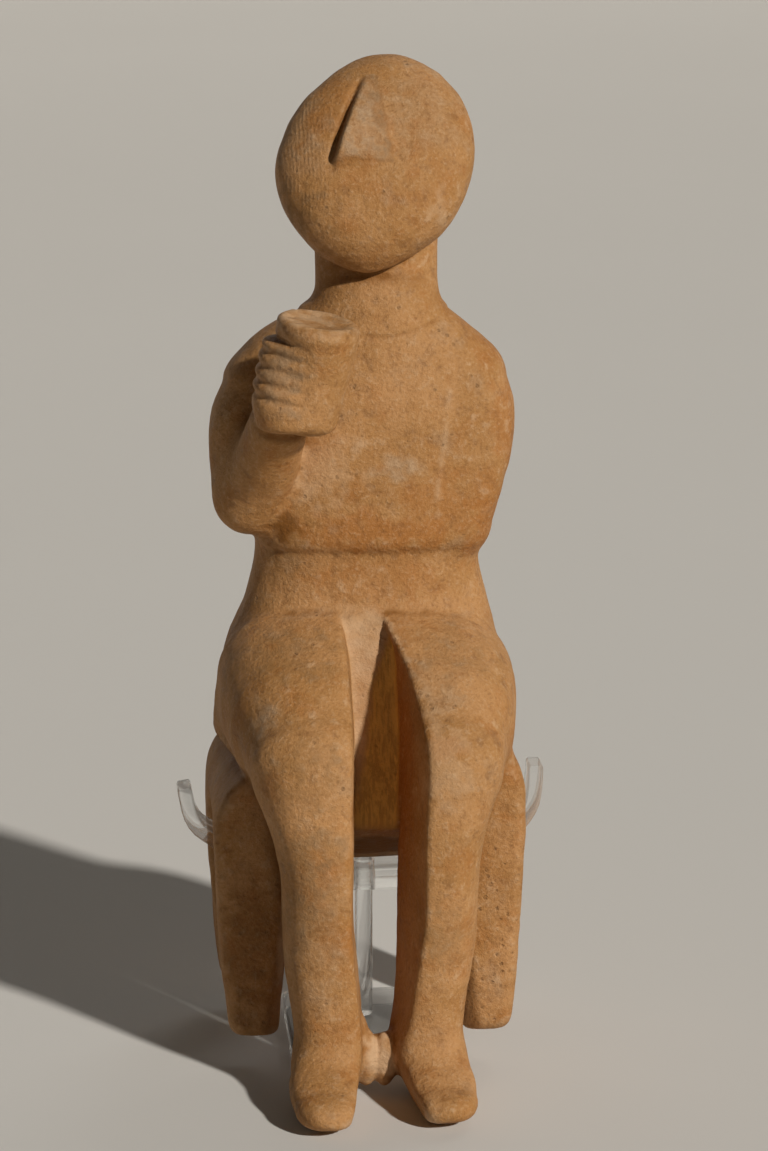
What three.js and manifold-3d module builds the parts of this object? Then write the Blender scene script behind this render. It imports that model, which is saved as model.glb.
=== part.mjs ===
// A seated marble figure that raises a cup, on a four-legged stool carved from the same block,
// held up by a clear stand: a foot plate, a post and a cradle bar with two upturned prongs.
// Units are millimetres, +Z is up, the figure faces -Y and its right arm is on the -X side.
// The origin is under the middle of the stand's foot plate.

import * as THREE from 'three';
import { ConvexGeometry } from 'three/addons/geometries/ConvexGeometry.js';
import { mergeVertices } from 'three/addons/utils/BufferGeometryUtils.js';
import Module from 'manifold-3d';

const wasm = await Module();
wasm.setup();

// Driving dimensions of the stool
const STOOL_FRONT = -15;
const STOOL_BACK = 17;
const STOOL_FLOOR = 5.2;
const STOOL_TOP = 50;
const STOOL_SHOULDER = 10;
const STOOL_HALF_WIDTH = 23.6;
const STOOL_FOOT_HALF_WIDTH = 21.5;
const STOOL_WIDEST = 40;
const LEG_WIDTH = 7.4;
const LEG_DEPTH = 7.5;
const LEG_SPREAD = 1.7;
const SIDE_LEG_SPREAD = 0.5;
const ARCH_CORNER = 4;
const APRON_EDGE = 38.6;
const FRONT_VAULT_REACH = 14;
const BACK_VAULT_REACH = 9;
const SIDE_VAULT_REACH = 12;
const SEAT_UNDERSIDE = 29.2;

// Driving dimensions of the stand
const FOOT_SIDE = 24;
const FOOT_THICKNESS = 3;
const POST_RADIUS = 1.4;
const BAR_DEPTH = 9;
const BAR_TOP = 28.9;
const BAR_HEIGHT = 3.6;
const BAR_BEND = 22.6;
const PRONG_THICKNESS = 2.2;
const PRONG_RISE = 7;
const PRONG_LEAN = 0.3;
const PRONGS = [{ reach: 25.2, tip: 43.8 }, { reach: 25.9, tip: 41.6 }];
const CLEARANCE = 0.3;

// Driving dimensions of the figure
const HEAD_TILT = THREE.MathUtils.degToRad(27);
const HEAD_LENGTH = 34;
const CHIN = new THREE.Vector3(1.7, -4.3, 121.6);
const CUP_AXIS = new THREE.Vector3(-8, -17, 0);
const CUP_FOOT = 100.5;
const CUP_RIM = 117.3;
const CUP_FOOT_RADIUS = 2.8;
const CUP_RIM_RADIUS = 6.5;
const CUP_EDGE = 0.7;
const CUP_DISH = 0.8;
const FINGERS = 4;
const FINGER_REACH = 5;
const FINGER_DEPTH = 1.7;
const FINGER_RADIUS = 1.3;
const FINGER_TURN = THREE.MathUtils.degToRad(-37);
const FINGER_PITCH = 2.2;
const FIRST_FINGER = new THREE.Vector3(-12.9, -19.4, 107);
const CLEFT_FRONT = -48;

const X_AXIS = new THREE.Vector3(1, 0, 0);
const Z_AXIS = new THREE.Vector3(0, 0, 1);

const MARBLE = { color: 0xb98a5c, roughness: 0.75, metalness: 0 };
const ACRYLIC = { color: 0xdfe6e6, roughness: 0.08, metalness: 0, transparent: true, opacity: 0.35 };

// Closed geometry to a solid for joining and cutting.
function solidOf(geometry) {
  geometry.deleteAttribute('normal');
  geometry.deleteAttribute('uv');
  const merged = mergeVertices(geometry, 1e-4);
  const vertProperties = new Float32Array(merged.getAttribute('position').array);
  const triVerts = new Uint32Array(merged.getIndex().array);
  return new wasm.Manifold(new wasm.Mesh({ numProp: 3, vertProperties, triVerts }));
}

// Solid back to geometry for the scene graph.
function geometryOf(solid) {
  const mesh = solid.getMesh();
  const geometry = new THREE.BufferGeometry();
  geometry.setAttribute('position', new THREE.BufferAttribute(mesh.vertProperties, 3));
  geometry.setIndex(new THREE.BufferAttribute(mesh.triVerts, 1));
  geometry.computeVertexNormals();
  return geometry;
}

// Smooth values of the stations' columns at a given place: each station starts with its place,
// and a Catmull-Rom curve joins the values of each further column.
function stationAt(stations, place) {
  const last = stations.length - 1;
  let index = 0;
  while (index < last - 1 && place > stations[index + 1][0]) {
    index += 1;
  }
  const before = stations[Math.max(index - 1, 0)];
  const start = stations[index];
  const end = stations[index + 1];
  const after = stations[Math.min(index + 2, last)];
  const span = end[0] - start[0];
  const share = (place - start[0]) / span;
  const square = share * share;
  const cube = square * share;
  return start.slice(1).map((value, index) => {
    const column = index + 1;
    const startSlope = span * (end[column] - before[column]) / (end[0] - before[0]);
    const endSlope = span * (after[column] - value) / (after[0] - start[0]);
    return (2 * cube - 3 * square + 1) * value + (cube - 2 * square + share) * startSlope
      + (3 * square - 2 * cube) * end[column] + (cube - square) * endSlope;
  });
}

// A limb: superellipse sections carried along a straight axis, with a dome at each end.
// Each station is [place on the axis, sideways offset, lift offset, half width, half depth, power].
// The domes are the lengths by which the first and the last section round off.
function limb({ origin, along, side, stations, domes, rings, sides }) {
  const axis = along.clone().normalize();
  const sideways = side.clone().addScaledVector(axis, -side.dot(axis)).normalize();
  const lifted = new THREE.Vector3().crossVectors(axis, sideways);
  const first = stations[0][0];
  const last = stations[stations.length - 1][0];
  const domeSteps = 4;
  const rows = [];
  for (let step = 1; step < domeSteps; step += 1) {
    const angle = (Math.PI / 2) * (1 - step / domeSteps);
    rows.push({ place: first, beyond: -domes[0] * Math.sin(angle), shrink: Math.cos(angle) });
  }
  for (let ring = 0; ring <= rings; ring += 1) {
    rows.push({ place: first + (last - first) * ring / rings, beyond: 0, shrink: 1 });
  }
  for (let step = 1; step < domeSteps; step += 1) {
    const angle = (Math.PI / 2) * (step / domeSteps);
    rows.push({ place: last, beyond: domes[1] * Math.sin(angle), shrink: Math.cos(angle) });
  }
  const positions = [];
  const addPoint = (place, across, up) => {
    const point = origin.clone().addScaledVector(axis, place);
    point.addScaledVector(sideways, across).addScaledVector(lifted, up);
    positions.push(point.x, point.y, point.z);
  };
  const round = (value, power) => Math.sign(value) * Math.abs(value) ** (2 / power);
  for (const row of rows) {
    const [middle, lift, width, depth, power] = stationAt(stations, row.place);
    for (let corner = 0; corner < sides; corner += 1) {
      const angle = (2 * Math.PI * corner) / sides;
      const across = middle + row.shrink * width * round(Math.cos(angle), power);
      const up = lift + row.shrink * depth * round(Math.sin(angle), power);
      addPoint(row.place + row.beyond, across, up);
    }
  }
  const [firstMiddle, firstLift] = stationAt(stations, first);
  const [lastMiddle, lastLift] = stationAt(stations, last);
  addPoint(first - domes[0], firstMiddle, firstLift);
  addPoint(last + domes[1], lastMiddle, lastLift);
  const firstTip = rows.length * sides;
  const lastTip = firstTip + 1;
  const lastRow = (rows.length - 1) * sides;
  const indices = [];
  for (let corner = 0; corner < sides; corner += 1) {
    const next = (corner + 1) % sides;
    indices.push(firstTip, next, corner);
    indices.push(lastTip, lastRow + corner, lastRow + next);
    for (let row = 0; row < rows.length - 1; row += 1) {
      const low = row * sides;
      const high = low + sides;
      indices.push(low + corner, low + next, high + next);
      indices.push(low + corner, high + next, high + corner);
    }
  }
  const geometry = new THREE.BufferGeometry();
  geometry.setAttribute('position', new THREE.Float32BufferAttribute(positions, 3));
  geometry.setIndex(indices);
  return solidOf(geometry);
}

// Frames for limbs: one stands on the origin, the other runs between two points.
const upright = { origin: new THREE.Vector3(), along: Z_AXIS, side: X_AXIS };

function between(from, to) {
  return { origin: from, along: to.clone().sub(from), side: X_AXIS };
}

// Hips, waist, chest and shoulders in one form.
function torso() {
  const stations = [
    [50, 0.1, 3.4, 22.9, 12.8, 2.5],
    [57, 0.2, 3.2, 22.1, 12.8, 2.4],
    [64, 0.1, 3.9, 20.6, 11.8, 2.4],
    [70, 0.7, 4.9, 18.5, 10.5, 2.4],
    [75, 0.8, 5.2, 17.3, 10.0, 2.4],
    [78.6, 0.9, 5.2, 17.1, 10.15, 2.5],
    [81.2, 1.0, 5.2, 17.7, 11.1, 2.6],
    [90, 0.8, 5.4, 18.8, 11.0, 2.6],
    [100, 0.8, 5.6, 20.2, 10.5, 2.6],
    [106, 0.8, 5.6, 19.9, 9.6, 2.5],
    [109.5, 0.9, 5.5, 17.8, 8.9, 2.4],
    [112.2, 1.3, 5.5, 14.5, 8.0, 2.3],
    [114.2, 1.9, 5.5, 11.3, 7.0, 2.2],
  ];
  return limb({ ...upright, stations, domes: [2, 1.6], rings: 26, sides: 26 });
}

function neck() {
  const stations = [
    [108, 2.0, 5.0, 10.4, 7.9, 2.2],
    [112, 2.4, 4.7, 9.6, 7.4, 2.2],
    [115, 2.45, 4.8, 9.3, 7.1, 2.2],
    [121, 2.4, 6.0, 9.25, 6.5, 2.2],
    [127, 2.4, 7.0, 9.2, 5.8, 2.2],
    [132, 2.3, 7.6, 8.4, 4.6, 2.2],
  ];
  return limb({ ...upright, stations, domes: [1, 2], rings: 6, sides: 20 });
}

function headFrame() {
  const along = new THREE.Vector3(0, Math.sin(HEAD_TILT), Math.cos(HEAD_TILT));
  return { origin: CHIN, along, side: X_AXIS };
}

function head() {
  const stations = [
    [1.5, -1.1, 1.0, 3.9, 2.6, 2.1],
    [3.5, -1.05, 0.8, 7.5, 4.7, 2.2],
    [6.7, -0.5, 0.6, 10.9, 6.3, 2.3],
    [11.2, -0.15, 0.5, 13.6, 7.2, 2.4],
    [16.4, 0.2, 0.5, 14.85, 7.6, 2.4],
    [21.5, 1.0, 0.5, 14.1, 7.4, 2.4],
    [26.2, 1.7, 0.6, 12.1, 6.6, 2.3],
    [30.2, 2.35, 0.8, 8.7, 5.1, 2.1],
    [HEAD_LENGTH - 1.1, 2.35, 1.0, 4.9, 2.85, 2],
  ];
  return limb({ ...headFrame(), stations, domes: [0.9, 1.1], rings: 14, sides: 26 });
}

// The nose is a long wedge, the only feature of the face: steep on its right, low on its left.
// Its corners are [across, towards the back, along from chin to crown] in the head's frame.
function nose() {
  const corners = [
    [-7.0, -5.0, 14.4],
    [-6.3, -8.8, 15.9],
    [1.9, -7.7, 15.9],
    [2.0, -5.0, 14.4],
    [-0.7, -4.9, 29.6],
    [-0.6, -2.5, 28.6],
  ];
  const { origin, along, side } = headFrame();
  const backwards = new THREE.Vector3().crossVectors(along, side);
  const points = corners.map(([across, back, up]) => origin.clone()
    .addScaledVector(side, across)
    .addScaledVector(backwards, back)
    .addScaledVector(along, up));
  return solidOf(new ConvexGeometry(points));
}

// The left arm hangs close to the side. Its forearm is the band of the torso above the waist.
function leftArm() {
  const stations = [
    [82, 14.7, 3.4, 5.0, 7.2, 2.3],
    [87, 15.8, 4.0, 5.6, 7.6, 2.3],
    [94, 17.0, 4.9, 6.2, 7.8, 2.3],
    [100, 17.0, 5.4, 6.4, 7.6, 2.3],
    [104, 16.0, 5.6, 6.2, 7.0, 2.3],
  ];
  return limb({ ...upright, stations, domes: [5.6, 5.2], rings: 8, sides: 16 });
}

function rightUpperArm() {
  const stations = [
    [87, -16.9, 2.4, 5.5, 5.8, 2.3],
    [93, -17.3, 3.4, 5.8, 6.4, 2.2],
    [99, -16.8, 4.5, 5.8, 7.0, 2.3],
    [103.5, -15.2, 5.2, 5.6, 6.8, 2.3],
  ];
  return limb({ ...upright, stations, domes: [6, 4.6], rings: 7, sides: 18 });
}

function rightForearm() {
  const stations = [
    [0, 0, 0, 5.2, 5.2, 2.2],
    [9, 0, 0, 4.9, 4.8, 2.2],
    [20, 0, 0, 4.3, 4.4, 2.2],
  ];
  const frame = between(new THREE.Vector3(-16.6, 1.4, 86.6), new THREE.Vector3(-13, -13.5, 102.5));
  return limb({ ...frame, stations, domes: [4, 2], rings: 6, sides: 16 });
}

function hand() {
  const stations = [
    [102, -12.0, -16.4, 5.1, 4.7, 2.5],
    [105, -12.2, -16.5, 5.5, 5.0, 2.5],
    [109, -12.2, -16.2, 5.2, 5.0, 2.4],
    [113.2, -11.8, -15.8, 4.6, 4.8, 2.3],
  ];
  return limb({ ...upright, stations, domes: [1.5, 2.4], rings: 6, sides: 18 });
}

// The cup is a cone with a shallow dish in its mouth.
function cup() {
  const profile = [
    new THREE.Vector2(0, CUP_FOOT),
    new THREE.Vector2(CUP_FOOT_RADIUS - CUP_EDGE, CUP_FOOT),
    new THREE.Vector2(CUP_FOOT_RADIUS, CUP_FOOT + CUP_EDGE),
    new THREE.Vector2(CUP_RIM_RADIUS, CUP_RIM - CUP_EDGE),
    new THREE.Vector2(CUP_RIM_RADIUS - CUP_EDGE, CUP_RIM),
    new THREE.Vector2(CUP_RIM_RADIUS - 2 * CUP_EDGE, CUP_RIM),
    new THREE.Vector2(0, CUP_RIM - CUP_DISH),
  ];
  const geometry = new THREE.LatheGeometry(profile, 22);
  geometry.rotateX(Math.PI / 2);
  geometry.translate(CUP_AXIS.x, CUP_AXIS.y, CUP_AXIS.z);
  return solidOf(geometry);
}

// Four finger rolls that lie around the front of the cup from the palm.
function fingers() {
  const rolls = [];
  for (let finger = 0; finger < FINGERS; finger += 1) {
    const geometry = new THREE.SphereGeometry(1, 10, 7);
    geometry.scale(FINGER_REACH, FINGER_DEPTH, FINGER_RADIUS);
    geometry.rotateZ(FINGER_TURN);
    geometry.translate(FIRST_FINGER.x, FIRST_FINGER.y, FIRST_FINGER.z + finger * FINGER_PITCH);
    rolls.push(solidOf(geometry));
  }
  return rolls;
}

// Both thighs start in one broad lap, which the cleft then parts.
function lap() {
  const stations = [
    [0, -0.4, 0, 20.4, 13.3, 2.6],
    [9, -0.3, 0.4, 20.6, 12.5, 2.6],
    [16, 0, 0.2, 19.2, 10.8, 2.6],
  ];
  const frame = between(new THREE.Vector3(-0.1, 3, 58.8), new THREE.Vector3(-0.1, -22.5, 51));
  return limb({ ...frame, stations, domes: [2, 4], rings: 4, sides: 24 });
}

// The legs differ a little: each has its own stations for the thigh, the calf and the foot.
const RIGHT_LEG = {
  hip: new THREE.Vector3(-11, 3, 58.6),
  knee: new THREE.Vector3(-10.2, -22.5, 51),
  thigh: [
    [4, 0.3, 0.2, 11.4, 11.2, 2.5],
    [11, 0.3, 0.4, 11.3, 11.2, 2.5],
    [19, 0.6, 0.2, 10.4, 10, 2.4],
    [26, 0.9, 0, 8.8, 8, 2.3],
  ],
  calf: [
    [8, -6.6, -25, 5.8, 5.6, 2.4],
    [14, -7.0, -24.3, 6.0, 6.2, 2.5],
    [23, -7.6, -23.3, 6.4, 7.2, 2.6],
    [32, -7.85, -22.7, 6.35, 8.0, 2.6],
    [38, -8.3, -22.4, 6.8, 8.2, 2.5],
    [45, -9.25, -22.2, 7.75, 8.0, 2.4],
    [52, -9.6, -21.8, 8.6, 7.6, 2.3],
  ],
  heel: new THREE.Vector3(-7.2, -22.5, 4.1),
  toes: new THREE.Vector3(-8.9, -38.5, 3.9),
  foot: [
    [0, 0, 0.6, 5.0, 4.2, 2.5],
    [6, 0, 0.6, 5.3, 4.2, 2.5],
    [11.5, 0, -0.2, 5.3, 3.3, 2.6],
    [15.5, 0, -0.9, 4.8, 2.5, 2.5],
  ],
};
const LEFT_LEG = {
  hip: new THREE.Vector3(11.2, 3, 57.6),
  knee: new THREE.Vector3(10.6, -22.5, 50.6),
  thigh: [
    [4, -0.3, 0.2, 11.8, 11.2, 2.5],
    [11, -0.3, 0.4, 11.8, 11.2, 2.5],
    [19, -0.5, 0.2, 10.6, 10, 2.4],
    [26, -0.9, 0, 8.9, 8, 2.3],
  ],
  calf: [
    [8, 7.15, -25, 5.65, 5.6, 2.4],
    [14, 7.5, -24.3, 5.7, 6.2, 2.5],
    [23, 8.25, -23.3, 6.25, 7.2, 2.6],
    [32, 8.6, -22.7, 6.4, 8.0, 2.6],
    [38, 8.85, -22.4, 6.65, 8.2, 2.5],
    [45, 9.5, -22.2, 7.5, 8.0, 2.4],
    [52, 9.9, -21.8, 8.4, 7.6, 2.3],
  ],
  heel: new THREE.Vector3(7.5, -22.5, 4.1),
  toes: new THREE.Vector3(9.3, -38.5, 3.9),
  foot: [
    [0, 0, 0.6, 4.8, 4.2, 2.5],
    [6, 0, 0.6, 5.0, 4.2, 2.5],
    [11, 0, -0.2, 5.0, 3.3, 2.6],
    [14.6, 0, -0.9, 4.6, 2.5, 2.5],
  ],
};

// A thigh to the knee, a calf that stands against the stool's apron above and is free below, and a foot.
function legPieces(leg) {
  const thigh = { ...between(leg.hip, leg.knee), stations: leg.thigh, domes: [4, 6.6], rings: 7, sides: 20 };
  const calf = { ...upright, stations: leg.calf, domes: [4, 4], rings: 10, sides: 18 };
  const foot = { ...between(leg.heel, leg.toes), stations: leg.foot, domes: [2, 5], rings: 6, sides: 16 };
  return [limb(thigh), limb(calf), limb(foot)];
}

// The web of stone that is left between the ankles, broken into two lobes.
function ankleWeb() {
  const lobes = [
    { centre: [-1.8, -25, 6], radii: [2.4, 2.6, 4.6] },
    { centre: [2, -24.6, 5.6], radii: [2.6, 2.8, 4.4] },
  ];
  return lobes.map(({ centre, radii }) => {
    const geometry = new THREE.SphereGeometry(1, 12, 9);
    geometry.scale(...radii);
    geometry.translate(...centre);
    return solidOf(geometry);
  });
}

// The cleft between the legs: narrow at the stool's apron, it opens to the front and flares at the lap.
// Each station is [height, place of the back face, then for the right and the left leg's face its place
// beside the back face and how far it moves outwards for each millimetre towards the front].
function cleft() {
  const stations = [
    [-6, -14.4, -2.6, 0.1, 2.6, 0.14],
    [1.5, -14.4, -2.5, 0.1, 1.7, 0.17],
    [7, -14.4, -1.4, 0.09, -0.6, 0.215],
    [13, -14.4, -1.6, 0.09, 1.1, 0.2],
    [22, -14.4, -2.4, 0.1, 2.6, 0.205],
    [30, -14.4, -2.75, 0.1, 3.1, 0.22],
    [39, -14.4, -2.75, 0.095, 3.6, 0.2],
    [44, -13.2, -2.65, 0.095, 4, 0.175],
    [50, -11.2, -2.45, 0.09, 4.25, 0.155],
    [56, -10.2, -2.5, 0.09, 4.25, 0.16],
    [60.5, -9.6, -2.75, 0.09, 4.15, 0.2],
    [64, -9.1, -3.15, 0.09, 4, 0.16],
    [66.5, -8.4, -3.5, 0.09, 3.4, 0.1],
    [68.6, -7.4, -3.8, 0.09, 2.5, 0.05],
    [71, -5.9, -3.95, 0.09, 1.6, 0],
  ];
  const floor = stations[0][0];
  const top = stations[stations.length - 1][0];
  const geometry = new THREE.BoxGeometry(1, 1, 1, 1, 4, 14);
  const position = geometry.getAttribute('position');
  for (let index = 0; index < position.count; index += 1) {
    const height = floor + (top - floor) * (position.getZ(index) + 0.5);
    const [back, right, rightSlope, left, leftSlope] = stationAt(stations, height);
    const place = THREE.MathUtils.lerp(back, CLEFT_FRONT, 0.5 - position.getY(index));
    const onRight = position.getX(index) < 0;
    const across = onRight ? right - rightSlope * (back - place) : left + leftSlope * (back - place);
    position.setXYZ(index, across, place, height);
  }
  return solidOf(geometry);
}

// Front outline of the stool: legs that draw in to the floor, with worn corners, and rounded shoulders.
function stoolFrontShape() {
  const foot = STOOL_FOOT_HALF_WIDTH;
  const wide = STOOL_HALF_WIDTH;
  const flat = wide - STOOL_SHOULDER;
  const worn = 1;
  const bulge = { across: wide - 0.6, height: 26 };
  const crown = STOOL_TOP - 3;
  const shape = new THREE.Shape();
  shape.moveTo(-foot + worn, STOOL_FLOOR);
  shape.lineTo(foot - worn, STOOL_FLOOR);
  shape.quadraticCurveTo(foot, STOOL_FLOOR, foot, STOOL_FLOOR + worn);
  shape.quadraticCurveTo(bulge.across, bulge.height, wide, STOOL_WIDEST);
  shape.quadraticCurveTo(wide, crown, flat, STOOL_TOP);
  shape.lineTo(-flat, STOOL_TOP);
  shape.quadraticCurveTo(-wide, crown, -wide, STOOL_WIDEST);
  shape.quadraticCurveTo(-bulge.across, bulge.height, -foot, STOOL_FLOOR + worn);
  shape.quadraticCurveTo(-foot, STOOL_FLOOR, -foot + worn, STOOL_FLOOR);
  return shape;
}

// An arch that is open at the floor, with its crown at the given height.
function archShape(halfWidth, crownHalfWidth, crown, corner) {
  const below = STOOL_FLOOR - 2;
  const shape = new THREE.Shape();
  shape.moveTo(-halfWidth, below);
  shape.lineTo(halfWidth, below);
  shape.lineTo(crownHalfWidth, crown - corner);
  shape.quadraticCurveTo(crownHalfWidth, crown, crownHalfWidth - corner, crown);
  shape.lineTo(-crownHalfWidth + corner, crown);
  shape.quadraticCurveTo(-crownHalfWidth, crown, -crownHalfWidth, crown - corner);
  shape.closePath();
  return shape;
}

// Extrusion of an upright outline along Y, between two places.
function extrudeAlongY(shape, from, to, curveSegments) {
  const geometry = new THREE.ExtrudeGeometry(shape, { depth: to - from, bevelEnabled: false, curveSegments });
  geometry.rotateX(Math.PI / 2);
  geometry.translate(0, to, 0);
  return geometry;
}

// A vault under one end of the seat, along Y: it rises from the seat's underside to the apron's edge.
function vault(arch, face, inward, reach) {
  const inner = face + inward * reach;
  const outer = face - inward;
  const geometry = extrudeAlongY(arch, Math.min(inner, outer), Math.max(inner, outer), 5);
  const position = geometry.getAttribute('position');
  for (let index = 0; index < position.count; index += 1) {
    const deep = Math.abs(position.getY(index) - inner) < 0.01;
    if (deep && position.getZ(index) > SEAT_UNDERSIDE - ARCH_CORNER) {
      position.setZ(index, position.getZ(index) - (APRON_EDGE - SEAT_UNDERSIDE));
    }
  }
  return geometry;
}

function stool() {
  const middle = (STOOL_FRONT + STOOL_BACK) / 2;
  const legGap = STOOL_FOOT_HALF_WIDTH - LEG_WIDTH;
  const crownGap = legGap - LEG_SPREAD;
  const sideGap = (STOOL_BACK - STOOL_FRONT) / 2 - LEG_DEPTH;
  const sideCrownGap = sideGap - SIDE_LEG_SPREAD;
  const frontArch = archShape(legGap, crownGap, APRON_EDGE, ARCH_CORNER);
  const hollowArch = archShape(legGap, crownGap, SEAT_UNDERSIDE, ARCH_CORNER - 1);
  const sideArch = archShape(sideGap, sideCrownGap, APRON_EDGE, ARCH_CORNER);
  const sideHollowArch = archShape(sideGap, sideCrownGap, SEAT_UNDERSIDE, ARCH_CORNER / 2);
  const sidewaysCuts = [
    extrudeAlongY(sideHollowArch, -2 * STOOL_HALF_WIDTH, 2 * STOOL_HALF_WIDTH, 5),
    vault(sideArch, -STOOL_HALF_WIDTH, 1, SIDE_VAULT_REACH),
    vault(sideArch, STOOL_HALF_WIDTH, -1, SIDE_VAULT_REACH),
  ];
  for (const sideways of sidewaysCuts) {
    sideways.rotateZ(Math.PI / 2);
    sideways.translate(0, middle, 0);
  }
  const cuts = [
    extrudeAlongY(hollowArch, STOOL_FRONT - 1, STOOL_BACK + 1, 5),
    vault(frontArch, STOOL_FRONT, 1, FRONT_VAULT_REACH),
    vault(frontArch, STOOL_BACK, -1, BACK_VAULT_REACH),
    ...sidewaysCuts,
  ];
  const block = solidOf(extrudeAlongY(stoolFrontShape(), STOOL_FRONT, STOOL_BACK, 6));
  return cuts.reduce((body, geometry) => body.subtract(solidOf(geometry)), block);
}

function figurine() {
  const legs = [...legPieces(RIGHT_LEG), ...legPieces(LEFT_LEG)];
  const lower = [...legs, lap(), torso(), stool()].reduce((sum, piece) => sum.add(piece));
  const cut = lower.subtract(cleft());
  const added = [
    neck(), head(), nose(), leftArm(), rightUpperArm(), rightForearm(), hand(), cup(),
    ...ankleWeb(), ...fingers(),
  ];
  return added.reduce((sum, piece) => sum.add(piece), cut);
}

// The cradle: a bar under the seat whose ends turn up into prongs outside the stool.
// Each prong leans out a little at its bend and back in at its tip.
function cradle() {
  const bottom = BAR_TOP - BAR_HEIGHT;
  const bend = BAR_TOP + PRONG_RISE;
  const [right, left] = PRONGS;
  const rightOuter = right.reach + PRONG_THICKNESS;
  const leftOuter = left.reach + PRONG_THICKNESS;
  const shape = new THREE.Shape();
  shape.moveTo(-BAR_BEND, bottom);
  shape.lineTo(BAR_BEND, bottom);
  shape.quadraticCurveTo(rightOuter, bottom + 1, rightOuter + PRONG_LEAN, bend);
  shape.lineTo(rightOuter - PRONG_LEAN, right.tip);
  shape.lineTo(right.reach - PRONG_LEAN, right.tip);
  shape.lineTo(right.reach + PRONG_LEAN, bend);
  shape.quadraticCurveTo(right.reach, BAR_TOP, BAR_BEND, BAR_TOP);
  shape.lineTo(-BAR_BEND, BAR_TOP);
  shape.quadraticCurveTo(-left.reach, BAR_TOP, -left.reach - PRONG_LEAN, bend);
  shape.lineTo(-left.reach, left.tip);
  shape.lineTo(-leftOuter, left.tip);
  shape.lineTo(-leftOuter - PRONG_LEAN, bend);
  shape.quadraticCurveTo(-leftOuter, bottom + 1, -BAR_BEND, bottom);
  const bar = solidOf(extrudeAlongY(shape, -BAR_DEPTH / 2, BAR_DEPTH / 2, 8));
  const hole = rod(POST_RADIUS + CLEARANCE, bottom - BAR_HEIGHT, BAR_TOP + BAR_HEIGHT);
  return bar.subtract(solidOf(hole));
}

// An upright round rod on the stand's axis, between two heights.
function rod(radius, bottom, top) {
  const geometry = new THREE.CylinderGeometry(radius, radius, top - bottom, 24);
  geometry.rotateX(Math.PI / 2);
  geometry.translate(0, 0, (top + bottom) / 2);
  return geometry;
}

function footPlate() {
  const geometry = new THREE.BoxGeometry(FOOT_SIDE, FOOT_SIDE, FOOT_THICKNESS);
  geometry.translate(0, 0, FOOT_THICKNESS / 2);
  return geometry;
}

function addMesh(group, name, geometry, finish) {
  const mesh = new THREE.Mesh(geometry, new THREE.MeshStandardMaterial(finish));
  mesh.name = name;
  group.add(mesh);
}

const group = new THREE.Group();
addMesh(group, 'figurine', geometryOf(figurine()), MARBLE);
addMesh(group, 'stand_cradle', geometryOf(cradle()), ACRYLIC);
addMesh(group, 'stand_post', rod(POST_RADIUS, FOOT_THICKNESS + CLEARANCE, BAR_TOP), ACRYLIC);
addMesh(group, 'stand_foot', footPlate(), ACRYLIC);

export default group;
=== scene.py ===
"""A seated marble figure that raises a cup, on a stool of the same block, held by a clear stand.

The marble is one carved surface. Each limb is a field of distances in millimetres. The fields are
joined with soft fillets and cut by the cleft between the legs and by the stool's arches, and the zero
level is read out as one mesh. Wear, chips and tool marks move its points along their normals, and
masks for soil, painted shade, painted light, worn edges and breaks go to the finish as attributes.
Finished meshes are in metres.
"""

from __future__ import annotations

import logging
import math
from dataclasses import dataclass, field
from enum import Enum
from functools import cached_property
from typing import Callable

import bpy
import numpy as np
from mathutils import Matrix, Vector


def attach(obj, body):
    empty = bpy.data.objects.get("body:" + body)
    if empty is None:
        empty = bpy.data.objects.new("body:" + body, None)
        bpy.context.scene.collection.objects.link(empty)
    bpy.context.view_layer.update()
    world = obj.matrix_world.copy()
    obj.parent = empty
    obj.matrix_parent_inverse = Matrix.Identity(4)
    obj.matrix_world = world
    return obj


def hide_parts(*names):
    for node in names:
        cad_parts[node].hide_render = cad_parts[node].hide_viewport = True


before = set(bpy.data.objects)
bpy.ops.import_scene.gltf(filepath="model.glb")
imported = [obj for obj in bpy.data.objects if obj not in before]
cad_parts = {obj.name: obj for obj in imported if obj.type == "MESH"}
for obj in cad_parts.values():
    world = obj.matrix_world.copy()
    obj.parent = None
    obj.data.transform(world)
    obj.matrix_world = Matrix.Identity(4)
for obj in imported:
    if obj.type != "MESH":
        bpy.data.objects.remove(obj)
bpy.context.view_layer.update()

Array = np.ndarray
Pair = tuple[float, float]
Vec = tuple[float, float, float]
Colour = tuple[float, float, float, float]
Span = tuple[float, float, float, float]
Stations = tuple[tuple[float, ...], ...]
Field = Callable[[Array], Array]
Socket = bpy.types.NodeSocket
Finish = bpy.types.Material
Piece = bpy.types.Object

log = logging.getLogger("figurine")

MM = 0.001
FAR = 9.0
TINY = 1e-9
BODY = "root"


def join(first: Array, second: Array, fillet: float) -> Array:
    """Union of two fields: the lower value, lowered further where both are nearly equal.

    Args:
        first: Distances to one form.
        second: Distances to the other form.
        fillet: Width over which the two forms run into each other.

    Returns:
        Distances to the joined form.
    """
    overlap = np.clip(fillet - np.abs(first - second), 0.0, None) / fillet
    return np.minimum(first, second) - overlap * overlap * fillet / 4.0


def meet(first: Array, second: Array, worn: float) -> Array:
    """Part that two forms share, with a worn edge: the union of their outsides, turned back.

    Args:
        first: Distances to one form.
        second: Distances to the other form.
        worn: Width of the rounded edge.

    Returns:
        Distances to the shared part.
    """
    return -join(-first, -second, worn)


def cut(body: Array, hole: Array, worn: float) -> Array:
    """Body without a hole, with the hole's edge worn round.

    Args:
        body: Distances to the body.
        hole: Distances to the hole's form.
        worn: Width of the rounded edge.

    Returns:
        Distances to what is left.
    """
    return meet(body, -hole, worn)


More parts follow.
